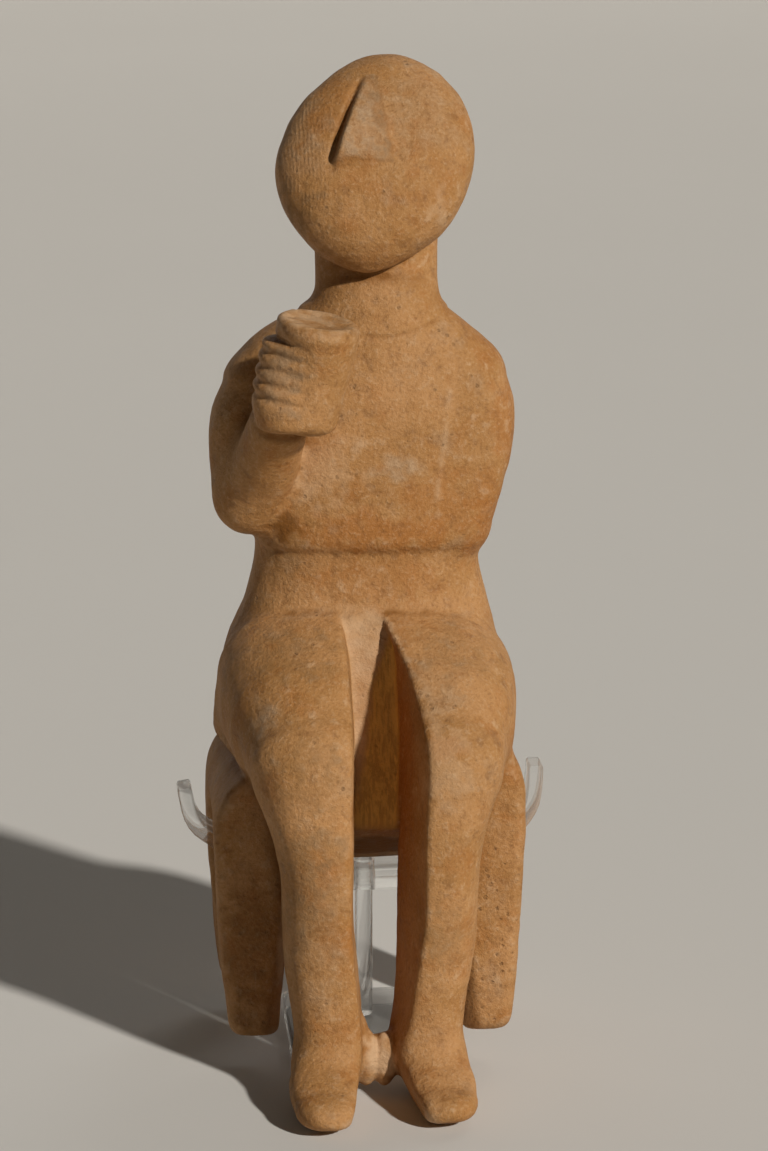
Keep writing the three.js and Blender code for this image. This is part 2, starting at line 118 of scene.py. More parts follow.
def rise(value: Array, start: float, end: float) -> Array:
    """Smooth step: 0 up to start, 1 from end on, and a cubic ease between them.

    Args:
        value: Values to read.
        start: Value where the step begins.
        end: Value where it is complete.

    Returns:
        Shares from 0 to 1.
    """
    share = np.clip((value - start) / (end - start), 0.0, 1.0)
    return share * share * (3.0 - 2.0 * share)


@dataclass(frozen=True)
class Rail:
    """Columns of sizes that change smoothly with a place.

    Each station starts with its place. Every further column is a cubic through its stations whose slope
    at a station is that of the line between the two neighbours.
    """

    stations: Stations
    samples: int = 240

    @cached_property
    def table(self) -> tuple[Array, Array]:
        """Places and columns of the curves, read at even steps.

        Returns:
            The places, and the values there with one column for each curve.
        """
        rows = np.array(self.stations, float)
        knots, values = rows[:, 0], rows[:, 1:]
        before = np.maximum(np.arange(len(rows)) - 1, 0)
        after = np.minimum(np.arange(len(rows)) + 1, len(rows) - 1)
        slopes = (values[after] - values[before]) / (knots[after] - knots[before])[:, None]
        places = np.linspace(knots[0], knots[-1], self.samples)
        index = np.clip(np.searchsorted(knots, places, side="right") - 1, 0, len(rows) - 2)
        span = (knots[index + 1] - knots[index])[:, None]
        share = (places - knots[index])[:, None] / span
        square, cube = share**2, share**3
        columns = (
            (2 * cube - 3 * square + 1) * values[index]
            + (cube - 2 * square + share) * span * slopes[index]
            + (3 * square - 2 * cube) * values[index + 1]
            + (cube - square) * span * slopes[index + 1]
        )
        return places, columns.T

    def at(self, place: Array) -> list[Array]:
        """Every column at the given places, held level beyond the ends."""
        places, columns = self.table
        return [np.interp(place, places, column) for column in columns]


@dataclass(frozen=True)
class Limb:
    """Superellipse sections carried along a straight axis, with a dome at each end.

    Each station is (place on the axis, sideways offset, lift, half width, half depth, power). A point's
    reach is the superellipse norm in its section, and beyond an end the root of that squared plus the
    squared share of the dome. The distance is (reach - 1) over the slope of the reach.
    """

    stations: Stations
    domes: Pair
    start: Vec = (0.0, 0.0, 0.0)
    along: Vec = (0.0, 0.0, 1.0)

    @cached_property
    def axes(self) -> Array:
        """Unit vectors across, up and along the limb, as rows.

        Returns:
            The three vectors.
        """
        axis = np.array(self.along, float)
        axis /= np.linalg.norm(axis)
        across = np.array((1.0, 0.0, 0.0)) - axis[0] * axis
        across /= np.linalg.norm(across)
        return np.stack([across, np.cross(axis, across), axis])

    @cached_property
    def rail(self) -> Rail:
        """The stations as smooth curves."""
        return Rail(self.stations)

    def local(self, points: Array) -> Array:
        """Points in the limb's own frame: across, up and along."""
        return (points - np.array(self.start)) @ self.axes.T

    def distance(self, points: Array) -> Array:
        """Distances of the points to the limb, or FAR where they are well away from it.

        Args:
            points: Points in millimetres.

        Returns:
            Distances in millimetres.
        """
        rows = np.array(self.stations)
        own = self.local(points)
        first, last = rows[0, 0], rows[-1, 0]
        reach = np.abs(rows[:, 1]).max() + rows[:, 3].max() + FAR
        lifts = (rows[:, 2] - rows[:, 4]).min() - FAR, (rows[:, 2] + rows[:, 4]).max() + FAR
        ends = first - self.domes[0] - FAR, last + self.domes[1] + FAR
        near = (np.abs(own[:, 0]) < reach) & (own[:, 1] > lifts[0]) & (own[:, 1] < lifts[1])
        near &= (own[:, 2] > ends[0]) & (own[:, 2] < ends[1])
        result = np.full(len(points), FAR)
        across, up, place = own[near].T
        middle, lift, width, depth, power = self.rail.at(np.clip(place, first, last))
        wide = np.abs(across - middle) / width + TINY
        deep = np.abs(up - lift) / depth + TINY
        norm = (wide**power + deep**power) ** (1.0 / power)
        slope = np.hypot((wide / norm) ** (power - 1) / width, (deep / norm) ** (power - 1) / depth)
        dome = np.where(place < first, self.domes[0], self.domes[1])
        beyond = np.maximum(np.maximum(first - place, place - last), 0.0) / dome
        total = np.hypot(norm, beyond)
        result[near] = (total - 1.0) * total / np.hypot(norm * slope, beyond / dome)
        return np.minimum(result, FAR)


def between(start: Vec, end: Vec, stations: Stations, domes: Pair) -> Limb:
    """A limb whose axis runs from one point towards another.

    Args:
        start: Point where the axis has place 0.
        end: Point that the axis runs towards.
        stations: The limb's stations.
        domes: Lengths of the domes at its two ends.

    Returns:
        The limb.
    """
    return Limb(stations, domes, start, tuple(np.subtract(end, start)))


@dataclass(frozen=True)
class Ball:
    """An ellipsoid, turned about the upright axis."""

    centre: Vec
    radii: Vec
    turn: float = 0.0

    def distance(self, points: Array) -> Array:
        """First-order distance: norm times (norm - 1) over the norm of the slope.

        Args:
            points: Points in millimetres.

        Returns:
            Distances in millimetres.
        """
        cos, sin = math.cos(self.turn), math.sin(self.turn)
        x, y, z = (points - np.array(self.centre)).T
        scaled = np.stack([cos * x + sin * y, cos * y - sin * x, z]) / np.array(self.radii)[:, None]
        norm = np.linalg.norm(scaled, axis=0) + TINY
        slope = np.linalg.norm(scaled / np.array(self.radii)[:, None], axis=0) + TINY
        return np.minimum(norm * (norm - 1.0) / slope, FAR)


@dataclass(frozen=True)
class Stool:
    """The four-legged stool: a block whose legs draw in to the floor, cut by two crossing arches.

    Each station of the sides is (height, half width on the right, half width on the left).
    """

    front: float = -15.0
    back: float = 17.0
    floor: float = 5.1
    tops: Pair = (48.2, 52.6)
    shoulder: float = 11.0
    leg_gap: float = 13.9
    leg_depth: float = 7.5
    leg_spread: float = 1.8
    flare: float = 1.5
    flare_depth: float = 2.6
    apron: float = 38.7
    underside: float = 29.2
    front_vault: float = 14.0
    back_vault: float = 9.0
    side_apron: float = 37.6
    side_vault: float = 12.0
    corner: float = 4.5
    worn: float = 1.8
    worn_foot: float = 3.0
    flare_fade: float = 0.7
    steepest: float = 1.2
    tunnel_slant: float = 0.9
    passage_slant: float = 0.8
    crossing: float = 0.6
    sides: Stations = (
        (5.0, 21.6, 21.4),
        (16.0, 22.7, 22.4),
        (28.0, 23.5, 23.1),
        (42.0, 23.7, 23.5),
        (51.0, 23.5, 23.6),
    )

    def distance(self, points: Array) -> Array:
        """The block's distance with the hollow from front to back and the one from side to side cut out.

        Each hollow's ceiling is the seat's underside, and rises to the apron's edge towards both ends.

        Args:
            points: Points in millimetres.

        Returns:
            Distances in millimetres.
        """
        x, y, z = points.T
        right, left = Rail(self.sides).at(z)
        middle, depth = (self.front + self.back) / 2, (self.back - self.front) / 2
        half = np.where(x < 0, right, left)
        body = meet(np.abs(x) - half, z - np.where(x < 0, *self.tops), self.shoulder)
        body = meet(body, np.abs(y - middle) - depth, self.worn)
        body = meet(body, self.floor - z, self.worn_foot)
        drawn = rise(z, self.floor, self.underside)
        flare = self.flare * rise(-y, -self.front - self.flare_depth, -self.front)
        flare = flare * (1.0 - self.flare_fade * drawn)
        gap = self.leg_gap - self.leg_spread * drawn + flare
        to_front = (self.front + self.front_vault - y) / self.front_vault
        to_back = (y - self.back + self.back_vault) / self.back_vault
        rising = np.clip(np.maximum(to_front, to_back), 0.0, self.steepest)
        ceiling = self.underside + (self.apron - self.underside) * rising
        tunnel = meet(np.abs(x) - gap, (z - ceiling) * self.tunnel_slant, self.corner)
        side_gap = depth - self.leg_depth
        to_side = (np.abs(x) - self.sides[-1][1] + self.side_vault) / self.side_vault
        rising = np.clip(to_side, 0.0, self.steepest)
        ceiling = self.underside + (self.side_apron - self.underside) * rising
        passage = meet(np.abs(y - middle) - side_gap, (z - ceiling) * self.passage_slant, self.corner)
        return np.minimum(cut(body, join(tunnel, passage, self.crossing), self.worn), FAR)


@dataclass(frozen=True)
class Cleft:
    """The cleft between the legs: narrow at the stool's apron, opening to the front.

    Each station is (height, place of the back face, then for the right and the left leg's face its place
    beside the back face and how far it moves outwards for each millimetre towards the front).
    """

    corner: float = 0.5
    top: float = 71.2
    skin: Pair = (0.4, 1.2)
    right_step: Pair = (-0.5, 0.2)
    left_step: Pair = (-0.2, 0.5)
    apron_step: Pair = (37.0, 40.0)
    top_fade: float = 0.8
    strip_reach: Stations = ((40.0, 0.2), (50.0, 1.0), (60.0, 2.6), (67.0, 6.0))
    strip_fade: float = 1.2
    strip_step: Pair = (40.0, 52.0)
    painted_bounce_fade: Pair = (65.0, 69.0)
    stations: Stations = (
        (-6.0, -14.4, -2.6, 0.10, 2.6, 0.14),
        (1.5, -14.4, -2.5, 0.10, 1.7, 0.17),
        (7.0, -14.4, -1.4, 0.09, -0.6, 0.215),
        (13.0, -14.4, -1.6, 0.09, 1.1, 0.20),
        (22.0, -14.4, -2.4, 0.10, 2.6, 0.205),
        (30.0, -14.4, -2.75, 0.10, 3.1, 0.22),
        (39.0, -14.4, -2.75, 0.095, 3.6, 0.20),
        (44.0, -13.2, -2.65, 0.095, 4.0, 0.175),
        (50.0, -11.2, -2.45, 0.09, 4.25, 0.155),
        (56.0, -10.2, -2.5, 0.09, 4.25, 0.16),
        (60.5, -9.6, -2.75, 0.09, 4.15, 0.20),
        (64.0, -9.1, -3.15, 0.09, 4.0, 0.16),
        (66.5, -8.4, -3.5, 0.09, 3.4, 0.10),
        (68.6, -7.4, -3.8, 0.09, 2.5, 0.05),
        (70.5, -6.2, -3.95, 0.09, 1.7, 0.0),
        (72.0, -5.2, -4.0, 0.09, 1.3, 0.0),
    )

    def distance(self, points: Array) -> Array:
        """Distance to the two side faces, the back face and the top, whichever is further out.

        Args:
            points: Points in millimetres.

        Returns:
            Distances in millimetres.
        """
        x, y, z = points.T
        back, right, right_slope, left, left_slope = Rail(self.stations).at(z)
        right_face = (right - right_slope * (back - y) - x) / np.hypot(1.0, right_slope)
        left_face = (x - left - left_slope * (back - y)) / np.hypot(1.0, left_slope)
        slot = meet(np.maximum(right_face, left_face), y - back, self.corner)
        return np.maximum(slot, z - self.top)

    def panel(self, points: Array) -> Array:
        """Share of the back face, between the legs and from the apron's edge up to the lap.

        Args:
            points: Points in millimetres.

        Returns:
            Shares from 0 to 1.
        """
        x, y, z = points.T
        back, right, _, left, _ = Rail(self.stations).at(z)
        on_back = 1.0 - rise(np.abs(y - back), *self.skin)
        inside = rise(x - right, *self.right_step) * (1.0 - rise(x - left, *self.left_step))
        lower = 1.0 - rise(z, self.top - self.top_fade, self.top)
        return on_back * inside * rise(z, *self.apron_step) * lower

    def strip(self, points: Array) -> Array:
        """Share of the pale strip on the back face, painted light where the key light falls on it: broad at
        the lap, gone at the apron.

        Args:
            points: Points in millimetres.

        Returns:
            Shares from 0 to 1.
        """
        x, _, z = points.T
        _, right, *_ = Rail(self.stations).at(z)
        reach = np.interp(z, *zip(*self.strip_reach))
        beside = 1.0 - rise(x - right, reach, reach + self.strip_fade)
        return self.panel(points) * beside * rise(z, *self.strip_step)

    def painted_bounce(self, points: Array) -> Array:
        """Share of the back face's painted warm bounce light: all of it beside the pale strip, gone towards
        the lap.
        """
        below = 1.0 - rise(points[:, 2], *self.painted_bounce_fade)
        return self.panel(points) * (1.0 - self.strip(points)) * below


@dataclass(frozen=True)
class Cup:
    """The cup: a cone whose rim leans to its left and nods forward, with a shallow dish in its mouth."""

    axis: Pair = (-8.0, -17.0)
    foot: float = 100.5
    rim: float = 117.3
    foot_radius: float = 2.6
    rim_radius: float = 6.5
    lean: float = 0.15
    nod: float = 0.08
    mouth: float = 4.3
    dish: float = 0.55
    worn: float = 1.9
    worn_mouth: float = 0.9

    def distance(self, points: Array) -> Array:
        """Distance to the cone between foot and rim, without the dish.

        Args:
            points: Points in millimetres.

        Returns:
            Distances in millimetres.
        """
        x, y, z = points.T
        leaning = self.lean * (x - self.axis[0]) - self.nod * (y - self.axis[1])
        height = z + leaning * rise(z, self.foot, self.rim)
        slope = (self.rim_radius - self.foot_radius) / (self.rim - self.foot)
        radius = np.hypot(x - self.axis[0], y - self.axis[1])
        wall = (radius - self.foot_radius - slope * (height - self.foot)) / math.hypot(1.0, slope)
        body = meet(meet(wall, self.foot - height, self.worn), height - self.rim, self.worn)
        hollow = Ball((*self.axis, self.rim), (self.mouth, self.mouth, self.dish))
        return cut(body, hollow.distance(np.stack([x, y, height], axis=1)), self.worn_mouth)


@dataclass(frozen=True)
class Fingers:
    """The grooves between the fingers: slanting lines around the fist that run out on the cup.

    Each groove is a bell-shaped hollow of the height. The top one, under the rim, is deeper.
    """

    first: float = 105.9
    pitch: float = 2.2
    count: int = 5
    depth: float = 0.46
    top_depth: float = 0.62
    width: float = 0.58
    tilt: float = 0.24
    knuckles: float = -14.0
    run_out: Pair = (-14.5, -8.6)
    back: Pair = (-12.0, -9.0)

    def depth_at(self, points: Array) -> Array:
        """Depth of the grooves at each point, in millimetres.

        Args:
            points: Points in millimetres.

        Returns:
            Depths in millimetres.
        """
        x, y, z = points.T
        total = np.zeros(len(points))
        for groove in range(self.count):
            place = self.first + groove * self.pitch - self.tilt * (x - self.knuckles)
            depth = self.top_depth if groove == self.count - 1 else self.depth
            total += depth * np.exp(-(((z - place) / self.width) ** 2))
        return total * (1.0 - rise(x, *self.run_out)) * (1.0 - rise(y, *self.back))


@dataclass(frozen=True)
class Nose:
    """The nose: a triangular wedge on the face, high along its right edge and low along its left.

    Its height falls evenly from the base to the apex and from the right edge to the left one. The right
    edge bows out, is steep and has a narrow groove beside it. The left edge and the base run out softly.
    """

    base: float = 15.2
    apex: float = 29.2
    right_edge: Pair = (-6.7, -1.2)
    left_edge: Pair = (1.7, 0.0)
    bow: float = 0.12
    right_height: float = 2.4
    left_height: float = 0.6
    groove: float = 0.55
    groove_width: float = 0.5
    groove_place: float = -0.3
    taper: float = 0.75
    right_step: Pair = (-0.2, 0.75)
    left_step: Pair = (-0.9, 1.5)
    base_step: Pair = (-1.7, 1.5)
    apex_step: Pair = (-1.5, 0.6)
    front_step: Pair = (1.0, 3.0)
    ragged: float = 0.5
    face_step: Pair = (-0.4, 0.6)
    face_edges: Pair = (0.5, 0.2)
    band_ragged: float = 1.6
    band_step: Pair = (-2.6, 0.2)
    line_ragged: float = 0.25
    line_width: float = 0.4

    def height(self, own: Array) -> Array:
        """Height of the wedge over the face.

        Args:
            own: Points in the head's frame: across, towards the back, and along from chin to crown.

        Returns:
            Heights in millimetres.
        """
        across, back, along = own.T
        share, right, left = self.outline(along)
        side = np.clip((across - right) / (left - right), 0.0, 1.0)
        slant = self.right_height + (self.left_height - self.right_height) * side
        high = slant * (1.0 - share) ** self.taper
        edges = rise(across - right, *self.right_step) * (1.0 - rise(across - left, *self.left_step))
        foot = rise(along - self.base, *self.base_step)
        tip = 1.0 - rise(along - self.apex, *self.apex_step)
        middle = 2.0 * np.sqrt(share * (1.0 - share))
        line = np.exp(-(((across - right - self.groove_place) / self.groove_width) ** 2)) * middle
        return (high * edges * foot - self.groove * line) * tip * rise(-back, *self.front_step)

    def outline(self, along: Array) -> tuple[Array, Array, Array]:
        """Share of the way from base to apex, and where the right and the left edge are there.

        Args:
            along: Places from chin to crown, in millimetres.

        Returns:
            The share, the right edge and the left edge.
        """
        share = np.clip((along - self.base) / (self.apex - self.base), 0.0, 1.0)
        right = self.right_edge[0] + (self.right_edge[1] - self.right_edge[0]) * share
        right = right - 4.0 * self.bow * share * (1.0 - share)
        left = self.left_edge[0] + (self.left_edge[1] - self.left_edge[0]) * share
        return share, right, left

    def cover(self, own: Array, grain: Array) -> tuple[Array, Array, Array]:
        """Masks of the nose's face, of the dusky band along its left edge and of the line around it.

        Args:
            own: Points in the head's frame.
            grain: Noise that makes the masks ragged.

        Returns:
            The three masks, from 0 to 1.
        """
        across, back, along = own.T
        _, right, left = self.outline(along)
        past_left, below = self.face_edges
        inside = np.minimum(across - right, left + past_left - across)
        inside = np.minimum(inside, along - self.base + below)
        front = (along < self.apex) * (back < 0.0)
        face = rise(inside + self.ragged * grain, *self.face_step) * front
        band = face * rise(across - left + self.band_ragged * grain, *self.band_step)
        line = np.exp(-(((inside + self.line_ragged * grain) / self.line_width) ** 2)) * front
        return face, band, line


@dataclass(frozen=True)
class Head:
    """The head thrown back: a broad ovoid with a wedge for a nose."""

    tilt: float = math.radians(27.0)
    chin: Vec = (1.7, -4.3, 121.6)
    nose: Nose = Nose()
    domes: Pair = (0.15, 0.08)
    stations: Stations = (
        (0.75, -1.1, 1.1, 1.6, 1.1, 2.0),
        (1.5, -1.1, 1.0, 3.9, 2.6, 2.1),
        (3.5, -1.05, 0.8, 7.5, 4.7, 2.2),
        (6.7, -0.5, 0.6, 10.9, 6.3, 2.3),
        (11.2, -0.15, 0.5, 13.6, 7.2, 2.4),
        (16.4, 0.2, 0.5, 14.85, 7.6, 2.4),
        (21.5, 1.0, 0.5, 14.1, 7.4, 2.4),
        (26.2, 1.7, 0.6, 12.1, 6.6, 2.3),
        (30.2, 2.35, 0.8, 8.7, 5.1, 2.1),
        (31.7, 2.4, 0.9, 6.9, 4.05, 2.0),
        (32.9, 2.35, 1.0, 4.9, 2.85, 2.0),
        (33.6, 2.25, 1.05, 3.1, 1.75, 2.0),
        (33.95, 2.1, 1.1, 1.2, 0.65, 2.0),
    )

    @cached_property
    def skull(self) -> Limb:
        """The ovoid, along the tilted axis from chin to crown."""
        along = (0.0, math.sin(self.tilt), math.cos(self.tilt))
        return Limb(self.stations, self.domes, self.chin, along)

    def distance(self, points: Array) -> Array:
        """Distance to the skull, less the nose's height over it."""
        return self.skull.distance(points) - self.nose.height(self.skull.local(points))


@dataclass(frozen=True)
class Leg:
    """One leg: thigh, calf and foot, with the fillets that join them."""

    thigh: Limb
    calf: Limb
    foot: Limb
    knee_fillet: float = 3.0
    ankle_fillet: float = 3.0

    def distance(self, points: Array) -> Array:
        """Distances of the points to the leg."""
        upper = join(self.thigh.distance(points), self.calf.distance(points), self.knee_fillet)
        return join(upper, self.foot.distance(points), self.ankle_fillet)


RIGHT_LEG = Leg(
    between(
        (-11.0, 3.0, 58.6),
        (-10.2, -22.5, 51.0),
        (
            (4.0, 0.3, 0.2, 11.4, 11.2, 2.5),
            (11.0, 0.3, 0.4, 11.3, 11.2, 2.5),
            (19.0, 0.6, 0.2, 10.4, 10.0, 2.4),
            (26.0, 0.9, 0.0, 8.8, 8.0, 2.3),
        ),
        (4.0, 6.6),
    ),
    Limb(
        (
            (8.0, -6.6, -25.0, 5.8, 5.6, 2.4),
            (14.0, -7.0, -24.3, 6.0, 6.2, 2.5),
            (23.0, -7.6, -23.3, 6.4, 7.2, 2.6),
            (32.0, -7.85, -22.7, 6.35, 8.0, 2.6),
            (38.0, -8.3, -22.4, 6.8, 8.2, 2.5),
            (45.0, -9.25, -22.2, 7.75, 8.0, 2.4),
            (52.0, -9.6, -21.8, 8.6, 7.6, 2.3),
        ),
        (4.0, 4.0),
    ),
    between(
        (-7.2, -22.5, 4.1),
        (-8.8, -38.5, 3.9),
        (
            (0.0, 0.0, 0.6, 5.0, 4.2, 2.5),
            (6.0, -0.1, 0.6, 5.3, 4.2, 2.5),
            (11.5, -0.2, -0.2, 5.2, 3.3, 2.6),
            (15.5, 0.1, -0.9, 4.6, 2.5, 2.6),
        ),
        (2.0, 5.4),
    ),
)
LEFT_LEG = Leg(
    between(
        (11.2, 3.0, 57.6),
        (10.6, -22.5, 50.6),
        (
            (4.0, -0.3, 0.2, 11.8, 11.2, 2.5),
            (11.0, -0.3, 0.4, 11.8, 11.2, 2.5),
            (19.0, -0.5, 0.2, 10.6, 10.0, 2.4),
            (26.0, -0.9, 0.0, 8.9, 8.0, 2.3),
        ),
        (4.0, 6.6),
    ),
    Limb(
        (
            (8.0, 7.15, -25.0, 5.65, 5.6, 2.4),
            (14.0, 7.5, -24.3, 5.7, 6.2, 2.5),
            (23.0, 8.25, -23.3, 6.25, 7.2, 2.6),
            (32.0, 8.6, -22.7, 6.4, 8.0, 2.6),
            (38.0, 8.85, -22.4, 6.65, 8.2, 2.5),
            (45.0, 9.5, -22.2, 7.5, 8.0, 2.4),
            (52.0, 9.9, -21.8, 8.4, 7.6, 2.3),
        ),
        (4.0, 4.0),
    ),
    between(
        (7.5, -22.5, 4.1),
        (9.3, -38.5, 3.9),
        (
            (0.0, 0.0, 0.6, 4.8, 4.2, 2.5),
            (6.0, 0.1, 0.6, 5.0, 4.2, 2.5),
            (11.0, 0.1, -0.2, 5.1, 3.3, 2.6),
            (14.4, -0.2, -0.9, 4.7, 2.5, 2.6),
        ),
        (2.0, 5.0),
    ),
)


@dataclass(frozen=True)
class Figure:
    """The seated figure with its cup and stool: every form of the block and how they run together."""

    torso: Limb = Limb(
        (
            (50.0, 0.1, 3.4, 22.9, 12.8, 2.5),
            (57.0, 0.2, 3.2, 22.1, 12.8, 2.4),
            (64.0, 0.1, 3.9, 20.6, 11.8, 2.4),
            (70.0, 0.7, 4.9, 18.5, 10.5, 2.4),
            (75.0, 0.8, 5.2, 17.3, 10.0, 2.4),
            (78.5, 0.9, 5.2, 17.05, 10.0, 2.5),
            (79.8, 0.9, 5.2, 17.4, 10.85, 2.6),
            (81.2, 1.0, 5.2, 17.75, 11.2, 2.6),
            (90.0, 0.8, 5.4, 18.8, 11.0, 2.6),
            (100.0, 0.8, 5.6, 20.2, 10.5, 2.6),
            (106.0, 0.8, 5.6, 19.9, 9.6, 2.5),
            (109.5, 0.9, 5.5, 17.8, 8.9, 2.4),
            (112.2, 1.3, 5.5, 14.5, 8.0, 2.3),
            (114.2, 1.9, 5.5, 11.3, 7.0, 2.2),
        ),
        (2.0, 2.6),
    )
    neck: Limb = Limb(
        (
            (100.0, 1.6, 5.2, 6.0, 4.5, 2.2),
            (108.0, 1.9, 5.0, 9.0, 6.6, 2.2),
            (112.0, 2.4, 4.7, 9.3, 7.4, 2.2),
            (115.0, 2.45, 4.8, 9.3, 7.1, 2.2),
            (121.0, 2.4, 6.0, 9.25, 6.5, 2.2),
            (127.0, 2.4, 7.0, 9.2, 5.8, 2.2),
            (132.0, 2.3, 7.6, 8.4, 4.6, 2.2),
        ),
        (1.0, 2.0),
    )
    left_arm: Limb = Limb(
        (
            (82.0, 14.7, 3.4, 5.0, 7.2, 2.3),
            (87.0, 15.8, 4.0, 5.6, 7.6, 2.3),
            (94.0, 17.0, 4.9, 6.2, 7.8, 2.3),
            (100.0, 17.0, 5.4, 6.4, 7.6, 2.3),
            (104.0, 16.0, 5.6, 6.2, 7.0, 2.3),
        ),
        (5.6, 5.2),
    )
    right_upper_arm: Limb = Limb(
        (
            (87.0, -16.9, 2.4, 5.5, 5.8, 2.3),
            (93.0, -17.3, 3.4, 5.8, 6.4, 2.2),
            (99.0, -16.8, 4.5, 5.8, 7.0, 2.3),
            (103.5, -15.2, 5.2, 5.6, 6.8, 2.3),
        ),
        (6.0, 4.6),
    )
    right_forearm: Limb = between(
        (-16.6, 1.4, 86.6),
        (-13.0, -13.5, 102.5),
        ((0.0, 0.0, 0.0, 5.2, 5.2, 2.2), (9.0, 0.0, 0.0, 4.9, 4.8, 2.2), (20.0, 0.0, 0.0, 4.3, 4.4, 2.2)),
        (4.0, 2.0),
    )
    hand: Limb = Limb(
        (
            (102.0, -12.0, -16.4, 5.1, 4.7, 2.5),
            (105.0, -12.2, -16.5, 5.5, 5.0, 2.5),
            (109.0, -12.2, -16.2, 5.2, 5.0, 2.4),
            (113.2, -11.8, -15.8, 4.6, 4.8, 2.3),
        ),
        (1.5, 2.4),
    )
    lap: Limb = between(
        (-0.1, 3.0, 58.8),
        (-0.1, -22.5, 51.0),
        (
            (0.0, -0.4, 0.0, 20.4, 13.3, 2.6),
            (9.0, -0.3, 0.4, 20.6, 12.5, 2.6),
            (16.0, 0.0, 0.2, 19.2, 10.8, 2.6),
        ),
        (2.0, 4.0),
    )
    web: tuple[Ball, ...] = (
        Ball((-0.4, -24.2, 5.6), (3.2, 2.2, 3.7)),
        Ball((-1.75, -25.2, 6.0), (1.9, 2.4, 4.5)),
        Ball((-2.7, -25.0, 8.2), (1.5, 2.3, 4.3)),
        Ball((0.95, -25.0, 5.5), (1.9, 2.4, 4.3)),
    )
    legs: tuple[Leg, ...] = (RIGHT_LEG, LEFT_LEG)
    head: Head = Head()
    cup: Cup = Cup()
    fingers: Fingers = Fingers()
    stool: Stool = Stool()
    cleft: Cleft = Cleft()
    lap_fillet: float = 0.7
    leg_fillet: float = 3.8
    stool_fillet: float = 0.8
    cleft_edge: float = 0.7
    lobe_fillet: float = 0.6
    web_fillet: float = 1.5
    neck_fillet: float = 2.2
    arm_fillet: float = 2.0
    elbow_fillet: float = 3.0
    fist_fillet: float = 2.0
    raised_fillet: float = 1.6
    head_fillet: float = 0.6

    def distance(self, points: Array) -> Array:
        """Distances of the points to the whole block.

        Args:
            points: Points in millimetres, one a row.

        Returns:
            Distances, below zero inside the stone.
        """
        block = self.torso.distance(points)
        block = join(block, self.lap.distance(points), self.lap_fillet)
        for leg in self.legs:
            block = join(block, leg.distance(points), self.leg_fillet)
        block = join(block, self.stool.distance(points), self.stool_fillet)
        block = cut(block, self.cleft.distance(points), self.cleft_edge)
        bridge = self.web[0].distance(points)
        for lobe in self.web[1:]:
            bridge = join(bridge, lobe.distance(points), self.lobe_fillet)
        block = join(block, bridge, self.web_fillet)
        block = join(block, self.neck.distance(points), self.neck_fillet)
        block = join(block, self.left_arm.distance(points), self.arm_fillet)
        upper, lower = self.right_upper_arm.distance(points), self.right_forearm.distance(points)
        arm = join(upper, lower, self.elbow_fillet)
        fist = join(self.hand.distance(points), self.cup.distance(points), self.fist_fillet)
        fist = fist + self.fingers.depth_at(points)
        block = join(block, join(arm, fist, self.raised_fillet), self.raised_fillet)
        return join(block, self.head.distance(points), self.head_fillet)


def slope_of(distance: Field, points: Array, step: float) -> Array:
    """Slope of a field by central differences.

    Args:
        distance: The field.
        points: Points to read it at.
        step: Half the width of a difference.

    Returns:
        One slope vector a row.
    """
    shifts = np.eye(3) * step
    sides = [(distance(points + shift) - distance(points - shift)) / (2 * step) for shift in shifts]
    return np.stack(sides, axis=1)


